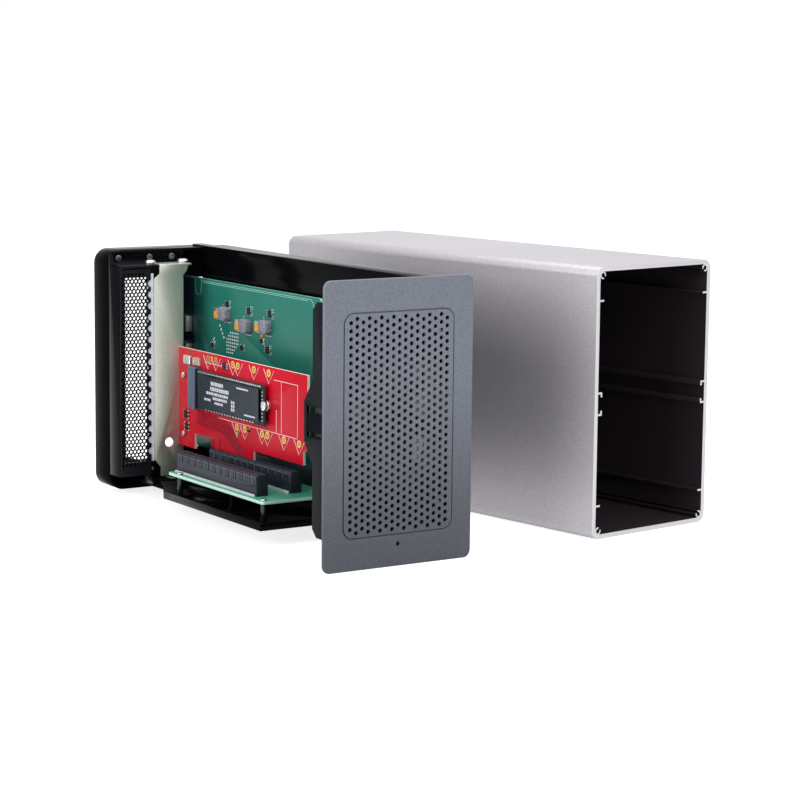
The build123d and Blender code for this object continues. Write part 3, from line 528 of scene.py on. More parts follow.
maskLight = surface("light mask edge", {
    "dark": tint(136, 206, 184), "light": tint(176, 228, 210), "grain": 1.0, "rough": 0.5,
})
redBoard = boardSurface("red solder mask", {
    "mask": tint(204, 18, 42), "track": tint(198, 15, 39), "edge": tint(236, 226, 220),
    "trackAxis": "Z", "trackScale": 200, "trackBend": 3.0, "areaScale": 0.03, "faceAxis": "X",
    "rough": 0.34, "ior": 1.2, "coat": 0.02,
})
greenBoard = boardSurface("green solder mask", {
    "mask": tint(34, 118, 104), "track": tint(28, 108, 96), "edge": tint(138, 212, 186),
    "trackAxis": "Y", "trackScale": 200, "trackBend": 2.0, "areaScale": 0.03, "faceAxis": "X",
    "rough": 0.36,
})
mintBoard = boardSurface("light green solder mask", {
    "mask": tint(72, 160, 132), "track": tint(48, 136, 108), "edge": tint(196, 234, 220),
    "trackAxis": "Y", "trackScale": 200, "trackBend": 1.5, "areaScale": 0.04, "faceAxis": "Z",
    "rough": 0.38,
})
blackBoard = boardSurface("black solder mask", {
    "mask": tint(16, 26, 28), "track": tint(26, 38, 38), "edge": tint(58, 62, 56),
    "trackAxis": "Y", "trackScale": 220, "trackBend": 1.5, "areaScale": 0.06, "faceAxis": "X",
    "rough": 0.4, "ior": 1.3,
})
print("materials ready")

# sleeve

sleeveLook = {
    "edge": 0.25, "wall": 2.4, "width": 86.0, "height": 142.0, "length": 253.0, "turn": 8.3,
    "foot": (163.8, 8.9), "inset": 0.05, "cutDepth": 0.15, "grain": 1.9, "grainDetail": 3.0,
    "grainEdge": (0.25, 0.75), "dark": tint(156, 152, 158), "light": tint(198, 195, 201),
    # inside is the colour of the painted shade within the tube
    "cutEnd": tint(200, 198, 201), "inside": tint(44, 38, 42), "metal": 0.62, "rough": 0.48,
    "insideRough": 0.22, "ior": 1.5, "insideIor": 1.16, "bump": 0.3, "depth": 0.05,
}


def sleeveSurface(look):
    # blasted aluminium outside, bright cut ends, and the inside painted near black as shade
    material, nodes, links, shader = startMaterial("blasted aluminium")
    coords = nodes.new("ShaderNodeTexCoord").outputs["Object"]
    own = nodes.new("ShaderNodeMapping")
    own.vector_type = "TEXTURE"
    own.inputs["Location"].default_value = (look["foot"][0] * mm, (look["foot"][1] + frontY) * mm, 0)
    own.inputs["Rotation"].default_value = (0, 0, radians(look["turn"]))
    links.new(coords, own.inputs["Vector"])
    place = splitNode(nodes, links, own.outputs["Vector"])

    def measure(operation, first, second=0.0):
        return mathNode(nodes, links, operation, first, second)

    half = (look["width"] / 2 - look["wall"] + look["inset"]) * mm
    low = (look["wall"] - look["inset"]) * mm
    high = (look["height"] - look["wall"] + look["inset"]) * mm
    across = measure("LESS_THAN", measure("ABSOLUTE", place["X"]), half)
    above = measure("GREATER_THAN", place["Z"], low)
    below = measure("LESS_THAN", place["Z"], high)
    inside = measure("MULTIPLY", measure("MULTIPLY", across, above), below)
    fromBack = measure("ABSOLUTE", measure("SUBTRACT", place["Y"], look["length"] * mm))
    fromEnd = measure("MINIMUM", measure("ABSOLUTE", place["Y"]), fromBack)
    cut = measure("LESS_THAN", fromEnd, look["cutDepth"] * mm)
    # painted shade: the inside, but not its cut ends, gets the near-black colour
    black = measure("MULTIPLY", inside, measure("SUBTRACT", 1.0, cut))

    fine = grainNode(nodes, links, coords, look["grain"], look["grainDetail"])
    blasted = rampNode(nodes, links, fine, look["dark"], look["light"], *look["grainEdge"])
    withCut = mixNode(nodes, links, cut, blasted, look["cutEnd"])
    links.new(mixNode(nodes, links, black, withCut, look["inside"]), shader.inputs["Base Color"])
    metal = measure("MULTIPLY", measure("SUBTRACT", 1.0, black), look["metal"])
    links.new(metal, shader.inputs["Metallic"])
    smoother = measure("MULTIPLY", black, look["rough"] - look["insideRough"])
    links.new(measure("SUBTRACT", look["rough"], smoother), shader.inputs["Roughness"])
    duller = measure("MULTIPLY", black, look["ior"] - look["insideIor"])
    links.new(measure("SUBTRACT", look["ior"], duller), shader.inputs["IOR"])
    addSkin(nodes, links, shader, fine, look)
    return material


sleeve = takeNode("outer_sleeve", sleeveLook["edge"])
finishPiece(sleeve, "sleeveShell", sleeveSurface(sleeveLook), "sleeve", "outer_sleeve")
print("sleeve ready")

# bezel

bezelLook = {
    "width": 86.0, "height": 142.0, "corner": 4.0, "cornerSteps": 10, "plate": 1.7, "thickness": 5.0,
    "inset": 3.2, "groove": 0.35, "backEdge": 0.2, "smoothAngle": 30,
    "fieldWidth": 63.6, "fieldHeight": 110.2, "fieldMiddle": 70.8, "fieldCorner": 5.5,
    "gap": 0.5, "gapDepth": 0.9, "ledgeOut": 1.0, "ledgeIn": 1.2, "webFront": 0.05, "web": 1.5,
    "webEdge": 0.12, "columns": 17, "rows": 27, "pitchX": 3.46, "pitchZ": 3.87, "hole": 1.1,
    "holeSides": 16, "lightHeight": 11.0, "lightRadius": 1.0, "lightSides": 24,
}
bezelPaintLook = {
    "dark": tint(100, 105, 115), "light": tint(122, 127, 138), "grain": 2.2, "rough": 0.46,
    "bump": 0.3, "depth": 0.05, "drift": 0.06, "metal": 0.15, "ior": 1.4,
    # the last two values set the painted shade: the tone at the foot and the height where the shade
    # ends
    "foot": 0.42, "unshadedHeight": 110.0,
}


def bezelSurface(look):
    # powder coat with painted shade: its tone falls towards the foot, as the light from above falls off
    material = surface("bezel powder coat", look)
    nodes, links = material.node_tree.nodes, material.node_tree.links
    colour = nodes["Principled BSDF"].inputs["Base Color"]
    paint = colour.links[0].from_socket
    links.remove(colour.links[0])
    place = splitNode(nodes, links, nodes.new("ShaderNodeTexCoord").outputs["Object"])
    # painted shade: a ramp over height that darkens the paint towards the foot
    paintedShade = nodes.new("ShaderNodeMapRange")
    paintedShade.interpolation_type = "SMOOTHSTEP"
    paintedShade.inputs["From Max"].default_value = look["unshadedHeight"] * mm
    paintedShade.inputs["To Min"].default_value = look["foot"]
    links.new(place["Z"], paintedShade.inputs["Value"])
    links.new(mixNode(nodes, links, 1.0, paint, paintedShade.outputs["Result"], "MULTIPLY"), colour)
    return material


def grilleCentres(look):
    # every second column has one hole more and starts half a pitch lower
    centres = []
    for i in range(look["columns"]):
        count = look["rows"] + i % 2
        for j in range(count):
            x = (i - (look["columns"] - 1) / 2) * look["pitchX"]
            z = look["fieldMiddle"] + (j - (count - 1) / 2) * look["pitchZ"]
            centres.append((x, z))
    return centres


def fieldOutline(look, grow=0.0):
    # the grille's field, made larger or smaller all round
    half, tall = look["fieldWidth"] / 2 + grow, look["fieldHeight"] / 2 + grow
    middle = look["fieldMiddle"]
    return cornerPoints(-half, half, middle - tall, middle + tall, look["fieldCorner"] + grow)


def plateOutline(look, inset=0.0):
    half = look["width"] / 2 - inset
    return cornerPoints(-half, half, inset, look["height"] - inset, look["corner"], look["cornerSteps"])


def makeBezel(look):
    light = ringPoints(0, look["lightHeight"], look["lightRadius"], look["lightSides"])
    rimOutlines = [plateOutline(look), fieldOutline(look), light]
    rim = cutPlate(rimOutlines, 0, look["plate"], "y", look["groove"])
    holes = [ringPoints(x, z, look["hole"], look["holeSides"]) for x, z in grilleCentres(look)]
    field = fieldOutline(look, -look["gap"])
    web = cutPlate([field] + holes, look["webFront"], look["web"], "y", look["webEdge"])
    ledgeOutlines = [fieldOutline(look, look["ledgeOut"]), fieldOutline(look, -look["ledgeIn"])]
    ledge = cutPlate(ledgeOutlines, look["gapDepth"], look["web"], "y")
    plate = joinAll([rim, web, ledge])
    bpy.ops.object.shade_smooth_by_angle(angle=radians(look["smoothAngle"]))
    return plate


def makeBezelBack(look):
    # the frame behind the plate, set in so that the sleeve's end can close over it
    light = ringPoints(0, look["lightHeight"], look["lightRadius"], look["lightSides"])
    outlines = [plateOutline(look, look["inset"]), fieldOutline(look), light]
    return cutPlate(outlines, look["plate"], look["thickness"], "y", look["backEdge"])


finishPiece(makeBezel(bezelLook), "bezelPlate", bezelSurface(bezelPaintLook), "bezel", "front_bezel")
finishPiece(makeBezelBack(bezelLook), "bezelFrame", blackPlastic, "bezel")
print("bezel ready")

# black housings: CAD node, piece, width of the rounded edge, material, slot, body

for node, name, width, material, slot, body in (
    ("fan_shroud", "fanShroud", 0.35, blackPlastic, "black_plastic", "enclosure"),
    ("fan_frame", "fanHousing", 0.3, fanPlastic, "black_plastic", "enclosure"),
    ("chassis", "foldedSheet", 0.25, blackPaint, "black_sheet", "enclosure"),
    ("rear_cap", "rearCap", 0.6, glossBlack, "gloss_black", "enclosure"),
    ("slot_cage", "slotCage", 0.25, blackPaint, "black_sheet", "enclosure"),
    ("fan_rotor", "fanWheel", 0.3, fanPlastic, "black_plastic", "fan_wheel"),
):
    finishPiece(takeNode(node, width), name, material, slot, node, body=body)
print("housings ready")

# boards, connectors and metal, in the same columns but the last

for node, name, width, material, slot in (
    ("adapter_card", "adapterCard", 0.1, redBoard, "red_board"),
    ("main_board", "mainBoard", 0.1, greenBoard, "green_board"),
    ("slot_board", "slotBoard", 0.1, mintBoard, "mint_board"),
    ("ssd_module", "driveBoard", 0.05, blackBoard, "black_board"),
    ("ssd_chips", "driveChips", 0.12, chipPlastic, "chip"),
    ("controller_chips", "controllerChips", 0.12, chipPlastic, "chip"),
    ("slot_connector_near", "slotConnectorNear", 0.15, connectorPlastic, "connector"),
    ("slot_connector_far", "slotConnectorFar", 0.15, connectorPlastic, "connector"),
    ("m2_socket", "driveSocket", 0.12, socketPlastic, "connector"),
    ("board_link", "boardLink", 0.15, connectorPlastic, "connector"),
    ("power_inductors", "powerInductors", 0.25, inductorGrey, "inductor"),
    ("card_bracket", "cardBracket", 0.15, steelPlate, "steel"),
    ("data_ports", "dataPorts", 0.2, steelPlate, "steel"),
    ("power_jack", "powerJack", 0.2, blackPlastic, "black_plastic"),
    ("board_standoffs", "boardPosts", 0.15, postSteel, "steel"),
    ("main_board_standoffs", "mainBoardPosts", 0.15, tinSolder, "steel"),
    ("bracket_screws", "bracketScrews", 0.2, zincPlate, "screw"),
    ("cage_screws", "cageScrews", 0.2, greyScrew, "screw"),
    ("chassis_screws", "chassisScrews", 0.2, zincPlate, "screw"),
    ("board_screws", "boardScrews", 0.2, zincPlate, "screw"),
    ("main_board_screws", "mainBoardScrews", 0.2, zincPlate, "screw"),
    ("ssd_screw", "driveScrew", 0.2, zincPlate, "screw"),
    ("bezel_screws", "bezelScrews", 0.2, darkScrew, "dark_screw"),
    ("fan_screws", "fanScrews", 0.2, darkScrew, "dark_screw"),
    ("light_pipe", "lightPipe", 0.08, lightPipeSkin, "clear"),
    ("led_board", "lightBoard", 0.1, greenBoard, "green_board"),
):
    finishPiece(takeNode(node, width), name, material, slot, node)
print("boards ready")

# slot cover

coverLook = {
    "left": -37.0, "right": -18.1, "low": 12.4, "high": 129.4, "front": 229.1, "back": 229.6,
    "pitchX": 2.35, "pitchZ": 1.88, "hole": 0.8, "holeSides": 12, "fieldLow": 18.6, "fieldHigh": 127.2,
    "fieldLeft": 1.5, "fieldRight": 1.0, "web": 0.3,
    "scallop": 1.9, "scallopPitch": 6.3, "scallopFirst": 26.0, "scallopLast": 124.0, "scallopSteps": 8,
    "tab": ((-34.5, -12.9), (229.2, 241.3), (130.0, 130.9)),
    "fold": ((-35.6, -18.1), (229.1, 229.6), (128.6, 130.9)), "tabEdge": 0.15,
    "gasket": ((-20.3, -16.2), (229.65, 229.95), (20.0, 126.0)), "gasketEdge": 0.05,
}


def coverOutline(look):
    # up the right edge goes a row of half-round bites
    points = [(look["left"], look["low"]), (look["right"], look["low"])]
    bite, steps = look["scallop"], look["scallopSteps"]
    z = look["scallopFirst"]
    while z < look["scallopLast"]:
        for i in range(steps + 1):
            turn = radians(-90 - 180 * i / steps)
            points.append((look["right"] + bite * cos(turn), z + bite * sin(turn)))
        z += look["scallopPitch"]
    return points + [(look["right"], look["high"]), (look["left"], look["high"])]


def coverHoles(look):
    # a hole is left out where it would cut into a bite
    holes = []
    clear = look["scallop"] + look["hole"] + look["web"]
    rows = int((look["fieldHigh"] - look["fieldLow"]) / look["pitchZ"])
    for j in range(rows + 1):
        z = look["fieldLow"] + j * look["pitchZ"]
        x = look["left"] + look["fieldLeft"] + (j % 2) * look["pitchX"] / 2
        nearest = round((z - look["scallopFirst"]) / look["scallopPitch"]) * look["scallopPitch"]
        while x < look["right"] - look["fieldRight"]:
            away = sqrt((x - look["right"]) ** 2 + (z - look["scallopFirst"] - nearest) ** 2)
            if away > clear:
                holes.append(ringPoints(x, z, look["hole"], look["holeSides"]))
            x += look["pitchX"]
    return holes


def makeCover(look):
    sheet = cutPlate([coverOutline(look)] + coverHoles(look), look["front"], look["back"], "y")
    return joinAll([sheet, addBlocks([look["tab"], look["fold"]], look["tabEdge"])])


finishPiece(makeCover(coverLook), "slotCover", meshPaint, "black_sheet", "slot_cover")
gasket = addBlock(*coverLook["gasket"], coverLook["gasketEdge"])
finishPiece(gasket, "slotGasket", gasketMetal, "steel")
print("cover ready")

# details of the adapter card: places are Y and Z, and a block adds its length, height and lift

cardLook = {
    "face": -0.8,
    "ringRows": ((80.8, (194.2, 185.2, 166.0, 160.4, 142.7, 126.7)),
                 (47.2, (161.3, 152.6, 133.8, 127.9, 110.4, 94.7))),
    "ring": 2.0, "ringSides": 24, "ringFront": -0.92,
    "pit": 1.15, "pitSides": 20, "core": 0.6, "coreSides": 16, "pitFront": -0.96, "pitBack": -0.9,
    "flagReach": 5.5, "flagRise": 1.9, "flagTip": 5.6, "inkRadius": 0.17,
    "inkLines": [
        [(113.2, 50.2), (113.2, 77.8), (96.4, 77.8), (96.4, 50.2)], [(191.6, 49.6), (96.4, 49.6)],
        [(121.0, 77.8), (96.4, 77.8)], [(118.6, 62.0), (118.6, 49.6)], [(198.0, 78.6), (178.0, 78.6)],
    ],
    "tracePath": ((207.2, 47.2), (198.9, 46.1), (188.0, 46.2), (179.0, 45.7), (171.0, 43.3),
                  (164.8, 39.4), (159.5, 35.0), (156.6, 31.0)),
    "traces": 6, "tracePitch": 1.4, "traceRadius": 0.34,
    "shortTraces": [[(189.8, 36.6), (188.4, 28.0)], [(187.8, 36.6), (186.4, 28.0)],
                    [(181.0, 37.6), (180.2, 29.0)]],
    "inductor": (215.4, 78.2, 7.6, 5.0, 2.6), "inductorEdge": 0.5,
    "ceramics": ((205.7, 78.2, 4.6, 4.2, 1.8), (160.0, 44.0, 2.6, 1.6, 0.9)), "ceramicEdge": 0.2,
    "tin": (
        ((208.8, 202.6), (78.2,), (1.6, 4.2, 1.7)),
        ((176.9, 172.1), (78.2, 79.3, 80.4), (1.5, 0.8, 0.7)),
        ((216.7, 221.3), (45.0, 47.0, 49.0), (1.1, 0.9, 0.9)),
        ((216.1, 220.7), (38.2, 40.2, 42.2), (1.1, 0.9, 0.9)),
    ),
    "tinEdge": 0.12,
    "packages": ((174.5, 79.3, 3.4, 3.4, 1.2), (219.0, 47.0, 3.2, 4.4, 1.4),
                 (218.4, 40.2, 3.0, 4.0, 1.2), (148.0, 47.0, 2.0, 1.2, 0.8)),
    "packageEdge": 0.15,
    "stud": (-2.3, 222.0, 68.8), "studRadius": 1.7, "studLength": 1.5, "studEdge": 0.6,
    "studDrop": 33.2,
}


def ringsAt(look, radius, sides):
    return [ringPoints(y, z, radius, sides) for z, row in look["ringRows"] for y in row]


def beside(path, distance):
    # the path moved sideways
    moved = []
    for i, (y, z) in enumerate(path):
        before, after = path[max(i - 1, 0)], path[min(i + 1, len(path) - 1)]
        along = Vector((after[0] - before[0], after[1] - before[1])).normalized()
        moved.append((y + along.y * distance, z - along.x * distance))
    return moved


def makePits(look):
    # thin dark copper rings laid on the gold discs: painted shade, which reads as pits
    outlines = ringsAt(look, look["pit"], look["pitSides"])
    outlines += ringsAt(look, look["core"], look["coreSides"])
    return cutPlate(outlines, look["pitFront"], look["pitBack"], "x")


def makeCardPrint(look):
    # a printed V at every test ring, and plain frame lines
    reach, rise, tip = look["flagReach"], look["flagRise"], look["flagTip"]
    flags = [[(y + reach, z + rise), (y, z - tip), (y - reach, z + rise)]
             for z, row in look["ringRows"] for y in row]
    return addLines(flags + look["inkLines"], look["face"], look["inkRadius"])


def makeCardTraces(look):
    half = (look["traces"] - 1) / 2
    paths = [beside(look["tracePath"], (i - half) * look["tracePitch"]) for i in range(look["traces"])]
    return addLines(paths + look["shortTraces"], look["face"], look["traceRadius"])


def makeStuds(look):
    stud = addRod(*look["stud"], look["studRadius"], look["studLength"], look["studEdge"])
    return joinAll(copyTo(stud, [(0, 0, -look["studDrop"])]))


rings = cutPlate(ringsAt(cardLook, cardLook["ring"], cardLook["ringSides"]), cardLook["ringFront"],
                 cardLook["face"], "x")
finishPiece(rings, "testRings", goldPlate, None)
finishPiece(makePits(cardLook), "testRingPits", pitShadeCopper, None)
finishPiece(makeCardPrint(cardLook), "cardPrint", whiteInk, None)
finishPiece(makeCardTraces(cardLook), "cardTraces", traceInk, "red_board")
inductor = addBlock(*onFace(cardLook["face"], *cardLook["inductor"]), cardLook["inductorEdge"])
finishPiece(inductor, "cardInductor", tinSolder, "chip", "adapter_chips")
ceramics = addParts(cardLook, "ceramics", "ceramicEdge")
finishPiece(ceramics, "cardCeramics", ceramicTan, "chip")
finishPiece(addTin(cardLook), "cardTin", tinSolder, "chip")
cardPackages = addParts(cardLook, "packages", "packageEdge")
finishPiece(cardPackages, "cardPackages", chipPlastic, "chip")
finishPiece(makeStuds(cardLook), "cardStuds", tinSolder, "chip")
print("card ready")

# details of the drive

driveLook = {
    "face": -4.2,
    "label": ((-5.6, -5.45), (129.4, 194.8), (54.2, 72.0)), "labelEdge": 0.06,
    "inkFace": -5.6, "inkLift": 0.03,
    "barRows": ((182.2, 165.7, 69.0, 2.1), (182.9, 161.5, 66.1, 2.1), (187.5, 161.0, 63.4, 1.5),
                (180.0, 161.0, 61.0, 1.5), (189.8, 181.0, 59.6, 1.3), (178.0, 168.0, 58.6, 1.3)),
    "barLengths": (2.2, 1.4, 2.8, 1.8), "barGap": 0.4,
    "squares": ((158.6, 156.4), (57.4, 59.4, 61.4)), "square": (1.7, 1.6),
    "loneBars": ((147.0, 70.0, 13.0, 0.9), (139.0, 56.4, 12.0, 0.9)),
    "tin": (
        (rowOf(198.6, -2.3, 31), (73.5,), (1.3, 0.8, 0.5)),
        (rowOf(190.0, -3.1, 18), (53.3,), (1.4, 0.7, 0.5)),
        ((127.4,), rowOf(55.5, 1.9, 9), (0.9, 0.9, 0.4)),
    ),
    "tinEdge": 0.08,
    "packages": ((197.4, 57.0, 2.0, 2.4, 0.9), (197.4, 62.0, 2.0, 2.4, 0.9),
                 (197.4, 67.0, 2.0, 2.4, 0.9)),
    "packageEdge": 0.12,
}


def makeLabelBars(look):
    # light bars of uneven lengths; a row runs from its start to its end at one height
    face, lift, lengths = look["inkFace"], look["inkLift"], look["barLengths"]
    bars = []
    for row, (start, end, z, tall) in enumerate(look["barRows"]):
        y, step = start, row
        while y - lengths[step % len(lengths)] >= end:
            long = lengths[step % len(lengths)]
            bars.append(onFace(face, y - long / 2, z, long, tall, lift))
            y -= long + look["barGap"]
            step += 1
    bars += padGrid(face, *look["squares"], (*look["square"], lift))
    bars += [onFace(face, *bar, lift) for bar in look["loneBars"]]
    return addBlocks(bars)


label = addBlock(*driveLook["label"], driveLook["labelEdge"])
finishPiece(label, "driveLabel", labelPaper, "black_board")
finishPiece(makeLabelBars(driveLook), "driveLabelBars", labelPrint, None)
finishPiece(addTin(driveLook), "driveTin", tinSolder, "chip")
drivePackages = addParts(driveLook, "packages", "packageEdge")
finishPiece(drivePackages, "drivePackages", chipPlastic, "chip")
print("drive ready")

# details of the upright board

mainLook = {
    "face": 19.0, "strip": ((18.94, 19.0), (247.2, 259.6), (24.2, 121.1)), "notchFront": 18.92,
    "notch": [(246.2, 121.0), (246.2, 115.4), (245.2, 112.9), (243.2, 111.3), (241.6, 111.3),
              (239.8, 112.9), (238.9, 115.4), (238.9, 121.0)],
    "edgeLines": [
        [(238.2, 119.8), (116.6, 119.8), (114.4, 118.2), (113.6, 116.0), (113.6, 100.0)],
        [(259.0, 120.6), (247.0, 120.6)], [(237.6, 118.9), (120.0, 118.9)],
    ],
    "lineRadius": 0.16, "inkLift": 0.06,
    "marks": ((252.8, 115.2, 2.2), (248.7, 115.4, 2.0), (252.0, 109.8, 1.2), (250.8, 103.2, 1.0),
              (249.9, 94.2, 2.2), (250.4, 92.8, 1.4), (249.5, 86.8, 2.6), (251.0, 85.2, 1.6),
              (248.4, 83.8, 1.2), (253.0, 98.6, 0.7)),
    "markTall": 0.9,
    "net": (208.6, 93.4), "netPitch": (2.1, 1.9), "netSide": 7, "netBand": (2, 9), "netDot": (0.9, 0.9),
    "slope": (216.8, 96.2), "slopePitch": (1.5, 2.1), "slopeDots": 4, "slopeDot": (1.0, 1.3),
    "spots": ((222.8, 86.5), (224.4, 87.4), (225.7, 85.9), (223.5, 88.5)), "spot": (0.9, 0.8),
}
# what belongs to a regulator, an inductor or a capacitor is counted from its own middle,
# and a regulator's third value is its size, by which its pads spread
regulatorLook = {
    "regulators": ((206.8, 109.2, 0.8), (182.4, 107.6, 1.0), (159.2, 108.2, 1.0), (168.0, 92.4, 0.6),
                   (161.6, 88.2, 1.0), (190.2, 86.4, 0.7), (224.4, 84.4, 0.7)),
    "packageBehind": 1.0, "package": (2.8, 3.6), "packageLift": 1.0, "packageEdge": 0.12,
    "frontFirst": (1.6, 2.3), "frontPitch": (1.5, 1.15), "frontRows": (2, 5),
    "frontPad": (0.95, 0.6, 0.5), "skipEvery": 4, "skipAt": 3,
    "rearFirst": (3.6, 1.7), "rearPitch": 1.3, "rearCount": 3, "rearPad": (0.9, 0.7, 0.5),
    "inductors": ((208.0, 103.8), (184.0, 99.2), (161.8, 100.8)),
    "lowLegs": (-3.2, -1.4, 0.6, 2.4), "legDrop": 4.9, "lowLeg": (1.0, 0.8, 0.6),
    "rearLegs": (2.6, 4.6), "legsBehind": 4.6, "rearLeg": (0.8, 0.9, 0.6),
    "capacitors": ((217.6, 102.8), (193.6, 98.7), (171.4, 100.0)),
    "capacitorDrop": 0.6, "capacitor": (4.4, 4.0, 2.4), "capacitorEdge": 0.2,
    "topEnd": (1.0, 2.3), "topEndPad": (3.2, 1.8, 1.9), "lowEndDrop": 3.0, "lowEndPad": (3.4, 0.8, 1.2),
    "looseCapacitor": (168.2, 95.2, 2.0, 1.4, 0.9), "tinEdge": 0.1,
}


def makeBoardPrint(look):
    face, lift = look["face"], look["inkLift"]
    dots = [onFace(face, y, z, long, look["markTall"], lift) for y, z, long in look["marks"]]
    (y, z), (stepY, stepZ), side = look["net"], look["netPitch"], range(look["netSide"])
    least, most = look["netBand"]
    dots += [onFace(face, y - stepY * i, z - stepZ * j, *look["netDot"], lift)
             for i in side for j in side if least <= i + j <= most]
    (y, z), (stepY, stepZ) = look["slope"], look["slopePitch"]
    dots += [onFace(face, y - stepY * i, z - stepZ * i, *look["slopeDot"], lift)
             for i in range(look["slopeDots"])]
    dots += [onFace(face, y, z, *look["spot"], lift) for y, z in look["spots"]]
    return addBlocks(dots)


def regulatorBoxes(look, face):
    # the packages and the tin pads round them
    packages, tin = [], []
    firstY, firstZ = look["frontFirst"]
    pitchY, pitchZ = look["frontPitch"]
    rearY, rearZ = look["rearFirst"]
    for y, z, size in look["regulators"]:
        long, tall = look["package"]
        packages.append(onFace(face, y + look["packageBehind"], z, long * size, tall * size,
                               look["packageLift"]))
        tin += [onFace(face, y - (firstY + pitchY * i) * size, z + (firstZ - pitchZ * j) * size,
                       *look["frontPad"])
                for i in range(look["frontRows"][0]) for j in range(look["frontRows"][1])
                if (i + j) % look["skipEvery"] != look["skipAt"]]
        tin += [onFace(face, y + rearY * size, z + (rearZ - look["rearPitch"] * j) * size,
                       *look["rearPad"]) for j in range(look["rearCount"])]
    return packages, tin


def inductorPads(look, face):
    tin = []
    for y, z in look["inductors"]:
        low = [y + step for step in look["lowLegs"]]
        rear = [z + step for step in look["rearLegs"]]
        tin += padGrid(face, low, [z - look["legDrop"]], look["lowLeg"])
        tin += padGrid(face, [y + look["legsBehind"]], rear, look["rearLeg"])
    return tin


def capacitorBoxes(look, face):
    # amber bodies and their tin ends
    bodies, ends = [], []
    for y, z in look["capacitors"]:
        bodies.append(onFace(face, y, z - look["capacitorDrop"], *look["capacitor"]))
        ends.append(onFace(face, y + look["topEnd"][0], z + look["topEnd"][1], *look["topEndPad"]))
        ends.append(onFace(face, y, z - look["lowEndDrop"], *look["lowEndPad"]))
    bodies.append(onFace(face, *look["looseCapacitor"]))
    return bodies, ends


mainFace = mainLook["face"]
finishPiece(addBlock(*mainLook["strip"]), "navyStrip", maskNavy, "green_board")
notch = cutPlate([mainLook["notch"]], mainLook["notchFront"], mainFace, "x")
finishPiece(notch, "notchField", maskGreen, "green_board")
lines = addLines([mainLook["notch"]] + mainLook["edgeLines"], mainFace, mainLook["lineRadius"])
finishPiece(lines, "maskLines", maskLight, "green_board")
finishPiece(makeBoardPrint(mainLook), "boardPrint", whiteInk, None)
packages, tin = regulatorBoxes(regulatorLook, mainFace)
capacitors, ends = capacitorBoxes(regulatorLook, mainFace)
tin += inductorPads(regulatorLook, mainFace)
bodies = addBlocks(capacitors, regulatorLook["capacitorEdge"])
finishPiece(bodies, "powerCapacitors", amberMoulding, "capacitor", "power_capacitors")
finishPiece(addBlocks(packages, regulatorLook["packageEdge"]), "powerPackages", chipPlastic, "chip")
finishPiece(addBlocks(tin + ends, regulatorLook["tinEdge"]), "powerTin", tinSolder, "chip")
print("upright board ready")

# details of the connectors: one of each is made on the near one and copied along both

connectorLook = {
    "apart": 20.32,
    "pin": ((-25.12, -24.02), (100.2, 101.2), (20.65, 21.8)), "pinEdge": 0.06, "pins": 44,
    "pinPitch": 2.0,
    "recess": ((-21.42, -19.22), (98.9, 99.1), (23.0, 31.2)), "recessEdge": 0.02,
    "edgeFace": -24.07, "edgeStart": 99.55, "edgeLow": 27.0, "edgeHigh": 30.7, "edgeLong": 6.3,
    "edgeRadius": 0.12, "edges": 12, "length": 89.0,
}


def alongBoth(piece, look, pitch=0.0, count=1):
    moves = [(x, pitch * i, 0) for x in (0, look["apart"]) for i in range(count)]
    return joinAll(copyTo(piece, moves[1:]))


def makeEdgeHighlights(look):
    # a fine painted highlight along the edge of every pocket in the connector's side
    start, high = look["edgeStart"], look["edgeHigh"]
    path = [(start, look["edgeLow"]), (start, high), (start + look["edgeLong"], high)]
    line = addLines([path], look["edgeFace"], look["edgeRadius"])
    return alongBoth(line, look, look["length"] / look["edges"], look["edges"])


pin = addBlock(*connectorLook["pin"], connectorLook["pinEdge"])
pins = alongBoth(pin, connectorLook, connectorLook["pinPitch"], connectorLook["pins"])
finishPiece(pins, "connectorPins", whiteInk, None)
recess = addBlock(*connectorLook["recess"], connectorLook["recessEdge"])
finishPiece(alongBoth(recess, connectorLook), "connectorRecesses", chipPlastic, "connector")
# the connectors' painted edge highlights
finishPiece(makeEdgeHighlights(connectorLook), "connectorEdgeHighlights", paintedEdgeHighlight, "connector")
print("connectors ready")

# studio: the camera's place is in mm, the floor and the lamps are in metres and watts

studio = {
    "cameraPlace": (-639.4, -991.46, 250.42), "yaw": 32.83, "pitch": 8.1134, "roll": 0.5626,
    "lens": 110.25, "sensor": 36, "nearest": 0.05, "farthest": 100,
    "worldLight": 0.38, "floorSize": 40.0, "floorDrop": 0.0002, "floorGrey": 0.6, "floorRough": 0.9,
    "floorGloss": 0.1, "floorGlow": 0.8,
    "lamps": (
        ("top box", (0.1, 0.15, 1.5), (0.1, 0.15, 0.0), (1.6, 1.6), 19),
        ("front box", (0.1, -1.5, 1.2), (0.05, 0.1, 0.07), (1.4, 0.9), 16),
        ("left box", (-1.6, -0.2, 0.75), (0.1, 0.15, 0.05), (1.2, 0.9), 17),
    ),
}


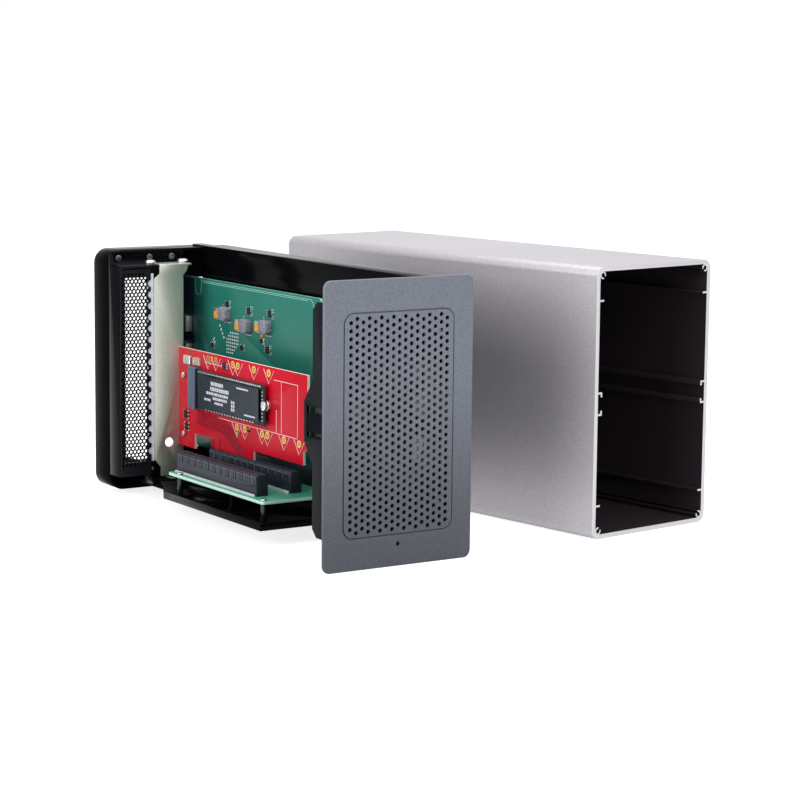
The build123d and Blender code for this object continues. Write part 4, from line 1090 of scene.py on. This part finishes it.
def makeCamera(look):
    yaw, pitch, roll = (radians(look[key]) for key in ("yaw", "pitch", "roll"))
    ahead = Vector((sin(yaw), cos(yaw), 0))
    right = Vector((cos(yaw), -sin(yaw), 0))
    up = Vector((0, 0, 1))
    forward = ahead * cos(pitch) - up * sin(pitch)
    level = up * cos(pitch) + ahead * sin(pitch)
    side = right * cos(roll) + level * sin(roll)
    top = level * cos(roll) - right * sin(roll)
    place = Vector(look["cameraPlace"]) * mm + Vector((0, frontY * mm, 0))
    data = bpy.data.cameras.new("photo camera")
    data.lens = look["lens"]
    data.sensor_width = look["sensor"]
    data.clip_start = look["nearest"]
    data.clip_end = look["farthest"]
    camera = bpy.data.objects.new("photo camera", data)
    bpy.context.scene.collection.objects.link(camera)
    turn = Matrix((side, top, -forward)).transposed()
    camera.matrix_world = Matrix.Translation(place) @ turn.to_4x4()
    bpy.context.scene.camera = camera


def showsWhite(nodes, links):
    # one for what the camera, a gloss or a clear part sees
    rays = nodes.new("ShaderNodeLightPath").outputs
    seen = mathNode(nodes, links, "MAXIMUM", rays["Is Camera Ray"], rays["Is Glossy Ray"])
    return mathNode(nodes, links, "MAXIMUM", seen, rays["Is Transmission Ray"])


def blendShaders(nodes, links, first, second, socket):
    # the second shader is what shows white
    blend = nodes.new("ShaderNodeMixShader")
    links.new(showsWhite(nodes, links), blend.inputs["Fac"])
    links.new(first, blend.inputs[1])
    links.new(second, blend.inputs[2])
    links.new(blend.outputs[0], socket)


def makeWorld(look):
    world = bpy.data.worlds.new("studio")
    bpy.context.scene.world = world
    world.use_nodes = True
    nodes, links = world.node_tree.nodes, world.node_tree.links
    light = nodes["Background"]
    light.inputs["Color"].default_value = grey(1)
    light.inputs["Strength"].default_value = look["worldLight"]
    white = nodes.new("ShaderNodeBackground")
    white.inputs["Color"].default_value = grey(1)
    white.inputs["Strength"].default_value = 1.0
    end = nodes["World Output"].inputs["Surface"]
    blendShaders(nodes, links, light.outputs[0], white.outputs[0], end)


def makeFloor(look):
    bpy.ops.object.select_all(action="DESELECT")
    bpy.ops.mesh.primitive_plane_add(size=look["floorSize"], location=(0, 0, -look["floorDrop"]))
    floor = settle(bpy.context.active_object)
    floor.name = "studioFloor"
    material, nodes, links, shader = startMaterial("studio floor")
    shader.inputs["Base Color"].default_value = grey(look["floorGrey"])
    shader.inputs["Roughness"].default_value = look["floorRough"]
    shader.inputs["Specular IOR Level"].default_value = look["floorGloss"]
    glow = nodes.new("ShaderNodeEmission")
    glow.inputs["Color"].default_value = grey(1)
    glow.inputs["Strength"].default_value = look["floorGlow"]
    total = nodes.new("ShaderNodeAddShader")
    links.new(shader.outputs[0], total.inputs[0])
    links.new(glow.outputs[0], total.inputs[1])
    end = nodes["Material Output"].inputs["Surface"]
    blendShaders(nodes, links, shader.outputs[0], total.outputs[0], end)
    floor.data.materials.append(material)


def addLamp(name, place, target, size, power):
    data = bpy.data.lights.new(name, "AREA")
    data.shape = "RECTANGLE"
    data.size, data.size_y = size
    data.energy = power
    lamp = bpy.data.objects.new(name, data)
    bpy.context.scene.collection.objects.link(lamp)
    lamp.location = place
    aim = Vector(target) - Vector(place)
    lamp.rotation_mode = "QUATERNION"
    lamp.rotation_quaternion = aim.to_track_quat("-Z", "Y")


makeCamera(studio)
makeWorld(studio)
makeFloor(studio)
for lamp in studio["lamps"]:
    addLamp(*lamp)
bpy.context.scene.view_settings.view_transform = "Standard"
print("studio ready")
